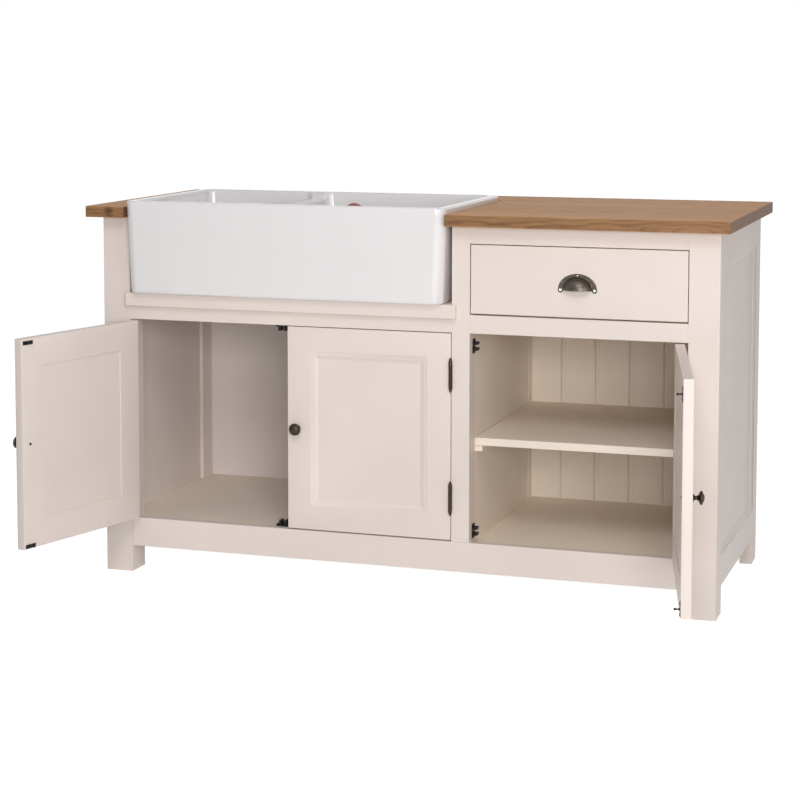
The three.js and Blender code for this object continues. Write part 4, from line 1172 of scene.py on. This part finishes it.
def leaf(side, necks, neck_start):
    """A thin plate with a neck to each knuckle and three screws on its face."""
    x0, x1 = sorted((side * LEAF_INNER, side * LEAF_OUTER))
    parts = [block((x0, PIN_OUT + 0.1 * MM, -LEAF_HALF), (x1, LEAF_REACH, LEAF_HALF))]
    for low, high in necks:
        parts.append(block((x0, neck_start, low), (x1, PIN_OUT + 0.2 * MM, high)))
    for i, z in enumerate((-LEAF_SCREWS_APART, 0, LEAF_SCREWS_APART)):
        face = Matrix.Translation((side * (LEAF_INNER + 0.02 * MM), LEAF_SCREW_IN, z))
        turn = Matrix.Rotation(math.radians(-90 * side), 4, "Y")
        parts.append(moved(screw_head(*LEAF_SCREW, 0.7 + 1.3 * i), face @ turn))
    return parts


HINGE_HEIGHTS = {"lower": 238 * MM, "upper": 527 * MM}
for door, side in (("left", -1), ("middle", 1), ("right", 1)):
    pin = joints[f"door_{door}_hinge"]["pos_m"]
    for level, z in HINGE_HEIGHTS.items():
        place = Matrix.Translation((pin[0], pin[1], z))
        node = f"hinge_{door}_{level}"
        shape = moved(hinge_fixed(side), place)
        made = mesh_piece(f"bronze_{node}_frame_side", shape, bronze, 40)
        fit(made, "cabinet", "dark_bronze", f"{node}_fixed")
        shape = moved(hinge_leaf(side), place)
        made = swing_small(mesh_piece(f"bronze_{node}_door_side", shape, bronze, 40), door)
        fit(made, f"door_{door}", "dark_bronze", f"{node}_leaf")


# ---- Catches and strikers --------------------------------------------------------------------
# Black double ball catches: a plate with two cheeks, each with a sprung ball. Two hold each door
# through a striker, a small plate on the door's back with a waisted prong.
CATCH_HALF = 17 * MM
CATCH_BODY = 10 * MM
CATCH_SLOT = 3.5 * MM
CATCH_PLATE = 2 * MM
CATCH_TALL = 12 * MM
CATCH_FROM_FRONT = 24 * MM
CATCH_DEEP = 20 * MM
CHEEK_SCREW = (2.4 * MM, 0.9 * MM)
CHEEK_SCREW_IN = 12 * MM
PLATE_SCREW = (2.3 * MM, 0.8 * MM)
PLATE_SCREW_IN = 5 * MM
PLATE_SCREW_OUT = 13.6 * MM
BALL = 2.6 * MM
BALL_IN = 7 * MM
BALL_OUT = 5.5 * MM
PACKERS = {"lower": 12 * MM, "upper": 5 * MM}
STRIKER_LONG = 32 * MM
STRIKER_WIDE = 9.2 * MM
STRIKER_THICK = 1.3 * MM
STRIKER_SCREW = (2.4 * MM, 0.8 * MM)
STRIKER_SCREW_OUT = 11 * MM
PRONG_START = 1.2 * MM
prong = [
    (0, 0), (3.4, 0), (3.2, 0.8), (1.9, 1.8), (1.6, 4.6), (1.7, 7.2), (2.4, 8.5), (2.6, 9.8),
    (2.3, 11.1), (1.3, 12.1), (0, 12.4),
]


def ball(radius, centre):
    profile = [(radius * up, -radius * across) for across, up in arc(0, 180, 12)]
    return moved(lathe(profile, 20), Matrix.Translation(centre))


def catch(node, packer, place):
    """A catch made lying on z = 0, its slot open to the front and its packer under it."""
    y0, y1 = CATCH_FROM_FRONT, CATCH_FROM_FRONT + CATCH_DEEP
    base = packer + CATCH_PLATE
    middle_z = base + (CATCH_TALL - CATCH_PLATE) / 2
    blocks = [block((-CATCH_HALF, y0, 0), (CATCH_HALF, y1, base))]
    for x0, x1 in ((-CATCH_BODY, -CATCH_SLOT), (CATCH_SLOT, CATCH_BODY)):
        low = (x0, y0 + 1 * MM, base - 0.5 * MM)
        blocks.append(block(low, (x1, y1 - 1 * MM, packer + CATCH_TALL)))
    extras = []
    for side in (-1, 1):
        extras.append(ball(BALL, (side * BALL_OUT, y0 + BALL_IN, middle_z)))
        spot = Matrix.Translation((side * CATCH_BODY, y0 + CHEEK_SCREW_IN, middle_z))
        spot = spot @ Matrix.Rotation(math.radians(90 * side), 4, "Y")
        extras.append(moved(screw_head(*CHEEK_SCREW, 0.5), spot))
        for y in (y0 + PLATE_SCREW_IN, y1 - PLATE_SCREW_IN):
            spot = Matrix.Translation((side * PLATE_SCREW_OUT, y, base))
            extras.append(moved(screw_head(*PLATE_SCREW, 0.4 + y * 90), spot))
    shape = moved(together(*blocks), place)
    made = ease(mesh_piece(f"black_{node}_body", shape, black_iron), EASED)
    fit(made, "cabinet", "black_iron", node)
    shape = moved(together(*extras), place)
    fit(mesh_piece(f"black_{node}_body_balls", shape, black_iron, 45), "cabinet", "black_iron")


# The right door's catches lie on the partition, the others on the floor or under the rail.
strikes = []
for door in ("left", "middle", "right"):
    for level, base, turn in (("lower", floor_high.z, 0), ("upper", doorway_top, 180)):
        node = f"catch_{door}_{level}"
        low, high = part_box(node)
        middle = (low + high) / 2
        packer = PACKERS[level]
        spot = Vector((middle.x, CARCASS_FRONT, base))
        if door == "right":
            packer, turn = 0, 90
            spot = Vector((low.x, CARCASS_FRONT, middle.z))
        place = Matrix.Translation(spot) @ Matrix.Rotation(math.radians(turn), 4, "Y")
        catch(node, packer, place)
        strike = place @ Vector((0, 0, packer + (CATCH_PLATE + CATCH_TALL) / 2))
        strikes.append((door, level, strike, turn % 180))

for door, level, strike, turn in strikes:
    place = Matrix.Translation((strike.x, CARCASS_FRONT + DOOR_THICK, strike.z))
    place = place @ Matrix.Rotation(math.radians(turn), 4, "Y") @ TOWARDS_BACK
    corner = Vector((STRIKER_LONG / 2, STRIKER_WIDE / 2, 0))
    plate = moved(block(-corner, corner + Vector((0, 0, STRIKER_THICK))), place)
    made = ease(mesh_piece(f"striker_plate_{door}_{level}", plate, black_iron), SIDE_ROUND)
    fit(swing_small(made, door), f"door_{door}", "black_iron")
    parts = [moved(lathe(prong, 24, MM), Matrix.Translation((0, 0, PRONG_START)))]
    for side in (-1, 1):
        spot = Matrix.Translation((side * STRIKER_SCREW_OUT, 0, STRIKER_THICK))
        parts.append(moved(screw_head(*STRIKER_SCREW, 0.8), spot))
    shape = moved(together(*parts), place)
    made = mesh_piece(f"striker_prong_{door}_{level}", shape, black_iron, 45)
    fit(swing_small(made, door), f"door_{door}", "black_iron")


# ---- Drawer ----------------------------------------------------------------------------------
# A plain slab front, 20 mm thick, flush with the frame, on a softwood box with a thin bottom.
made = board("painted_drawer_front", *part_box("drawer_front"), cream_level, RAIL_ROUND)
fit(made, "drawer", "cream_paint", "drawer_front")

TRAY_WALL = 12 * MM
TRAY_BASE = 8 * MM
TRAY_ROUND = 1.2 * MM
low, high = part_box("drawer_box")
left, right = low.x + TRAY_WALL, high.x - TRAY_WALL
near, far = low.y + TRAY_WALL, high.y - TRAY_WALL
tray_boards = {
    "left": ((low.x, low.y, low.z), (left, high.y, high.z)),
    "right": ((right, low.y, low.z), (high.x, high.y, high.z)),
    "near": ((left, low.y, low.z), (right, near, high.z)),
    "far": ((left, far, low.z), (right, high.y, high.z)),
    "base": ((left, near, low.z), (right, far, low.z + TRAY_BASE)),
}
for name, span in tray_boards.items():
    made = board(f"drawer_board_{name}", *span, softwood, TRAY_ROUND)
    fit(made, "drawer", "raw_wood", *(["drawer_box"] if name == "base" else []))


# ---- Cup pull --------------------------------------------------------------------------------
# A cast pewter half-cup, open below: a thin flange with a rounded lug at each end, a raised ring
# round the cup, and the domed cup itself. Two screws hold the lugs and one the top.
PULL_WIDE = 45 * MM
PULL_TALL = 37 * MM
DOME_WIDE = 33 * MM
DOME_TALL = 29 * MM
DOME_OUT = 24 * MM
DOME_SKIN = 2.2 * MM
FLANGE = 2.2 * MM
LUG = 6.5 * MM
LUG_APART = 39 * MM
LUG_SQUASH = 0.98 * 0.92
LUG_STEPS = 12
PULL_STEPS = 40
DOME_RINGS = 15
DOME_POINTS = 37
RING_GAP = 1.2 * MM
RING_HALF = 1.7 * MM
RING_OUT = 1.5 * MM
RING_POINTS = 8
pull_low, pull_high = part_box("cup_pull")
pull_x = (pull_low.x + pull_high.x) / 2
pull_z = pull_high.z - PULL_TALL


def pull_flange():
    """The flat half-oval with a lug at each end."""
    outline = [(PULL_WIDE * across, PULL_TALL * up) for across, up in arc(0, 180, PULL_STEPS)]
    for middle in (-LUG_APART, LUG_APART):
        below = arc(180, 360, LUG_STEPS)[1:-1]
        outline += [(middle + LUG * LUG_SQUASH * across, LUG * up) for across, up in below]
    return prism(outline, "y", 0, -FLANGE)


def pull_dome(skin_thick):
    """A quarter of a ball, squashed: rings from the flange to the foremost point."""
    wide, tall, out = DOME_WIDE - skin_thick, DOME_TALL - skin_thick, DOME_OUT - skin_thick
    half = arc(0, 180, DOME_POINTS - 1)
    points = []
    for reach, lean in arc(0, 90, DOME_RINGS - 1):
        points += [(wide * across * reach, -out * lean, tall * up * reach) for across, up in half]
    return points


def pull_cup():
    """The cup's outer and inner skins joined along the open edge below."""
    points = pull_dome(0) + pull_dome(DOME_SKIN)
    size = len(points) // 2
    faces = walls(range(0, size, DOME_POINTS), DOME_POINTS, closed=False)
    faces += walls(range(size, 2 * size, DOME_POINTS), DOME_POINTS, closed=False)
    for i in range(DOME_RINGS - 1):
        for j in (0, DOME_POINTS - 1):
            a = i * DOME_POINTS + j
            b = a + DOME_POINTS
            faces.append((a, b, b + size, a + size))
    return points, faces + walls((0, size), DOME_POINTS, closed=False)


def pull_ring():
    """The raised bead round the cup's foot, on the flange."""
    points = []
    wide, tall = DOME_WIDE + RING_GAP, DOME_TALL + RING_GAP
    for across, up in arc(0, 180, PULL_STEPS):
        centre = Vector((wide * across, -FLANGE, tall * up))
        for out, lean in circle(1, RING_POINTS):
            reach = RING_HALF * out
            points.append(centre + Vector((across * reach, -RING_OUT * lean, up * reach)))
    last = len(points) - RING_POINTS
    faces = walls(range(0, len(points), RING_POINTS), RING_POINTS)
    faces.append(tuple(range(RING_POINTS)))
    faces.append(tuple(range(len(points) - 1, last - 1, -1)))
    return points, faces


pewter = polished("worn_pewter", (0.115, 0.097, 0.082), 0.32, 0.9, 0.45)
place = Matrix.Translation((pull_x, CARCASS_FRONT, pull_z))
flange_piece = mesh_piece("pewter_pull_flange", moved(pull_flange(), place), pewter)
fit(ease(flange_piece, 0.7 * MM), "drawer", "pewter", "cup_pull")
fit(mesh_piece("pewter_pull_cup", moved(pull_cup(), place), pewter, 50), "drawer", "pewter")
fit(mesh_piece("pewter_pull_ring", moved(pull_ring(), place), pewter, 60), "drawer", "pewter")
LUG_SCREW = 2.9 * MM
TOP_SCREW = 1.9 * MM
pull_screws = [
    (-LUG_APART, 0, LUG_SCREW), (LUG_APART, 0, LUG_SCREW), (0, PULL_TALL - 4 * MM, TOP_SCREW),
]
heads = []
for i, (x, z, radius) in enumerate(pull_screws):
    spot = Matrix.Translation((x, -FLANGE, z)) @ TOWARDS_FRONT
    heads.append(moved(screw_head(radius, 1.1 * MM, 0.6 + i), spot))
made = mesh_piece("pull_screws", moved(together(*heads), place), bright, 40)
fit(made, "drawer", "bright_metal")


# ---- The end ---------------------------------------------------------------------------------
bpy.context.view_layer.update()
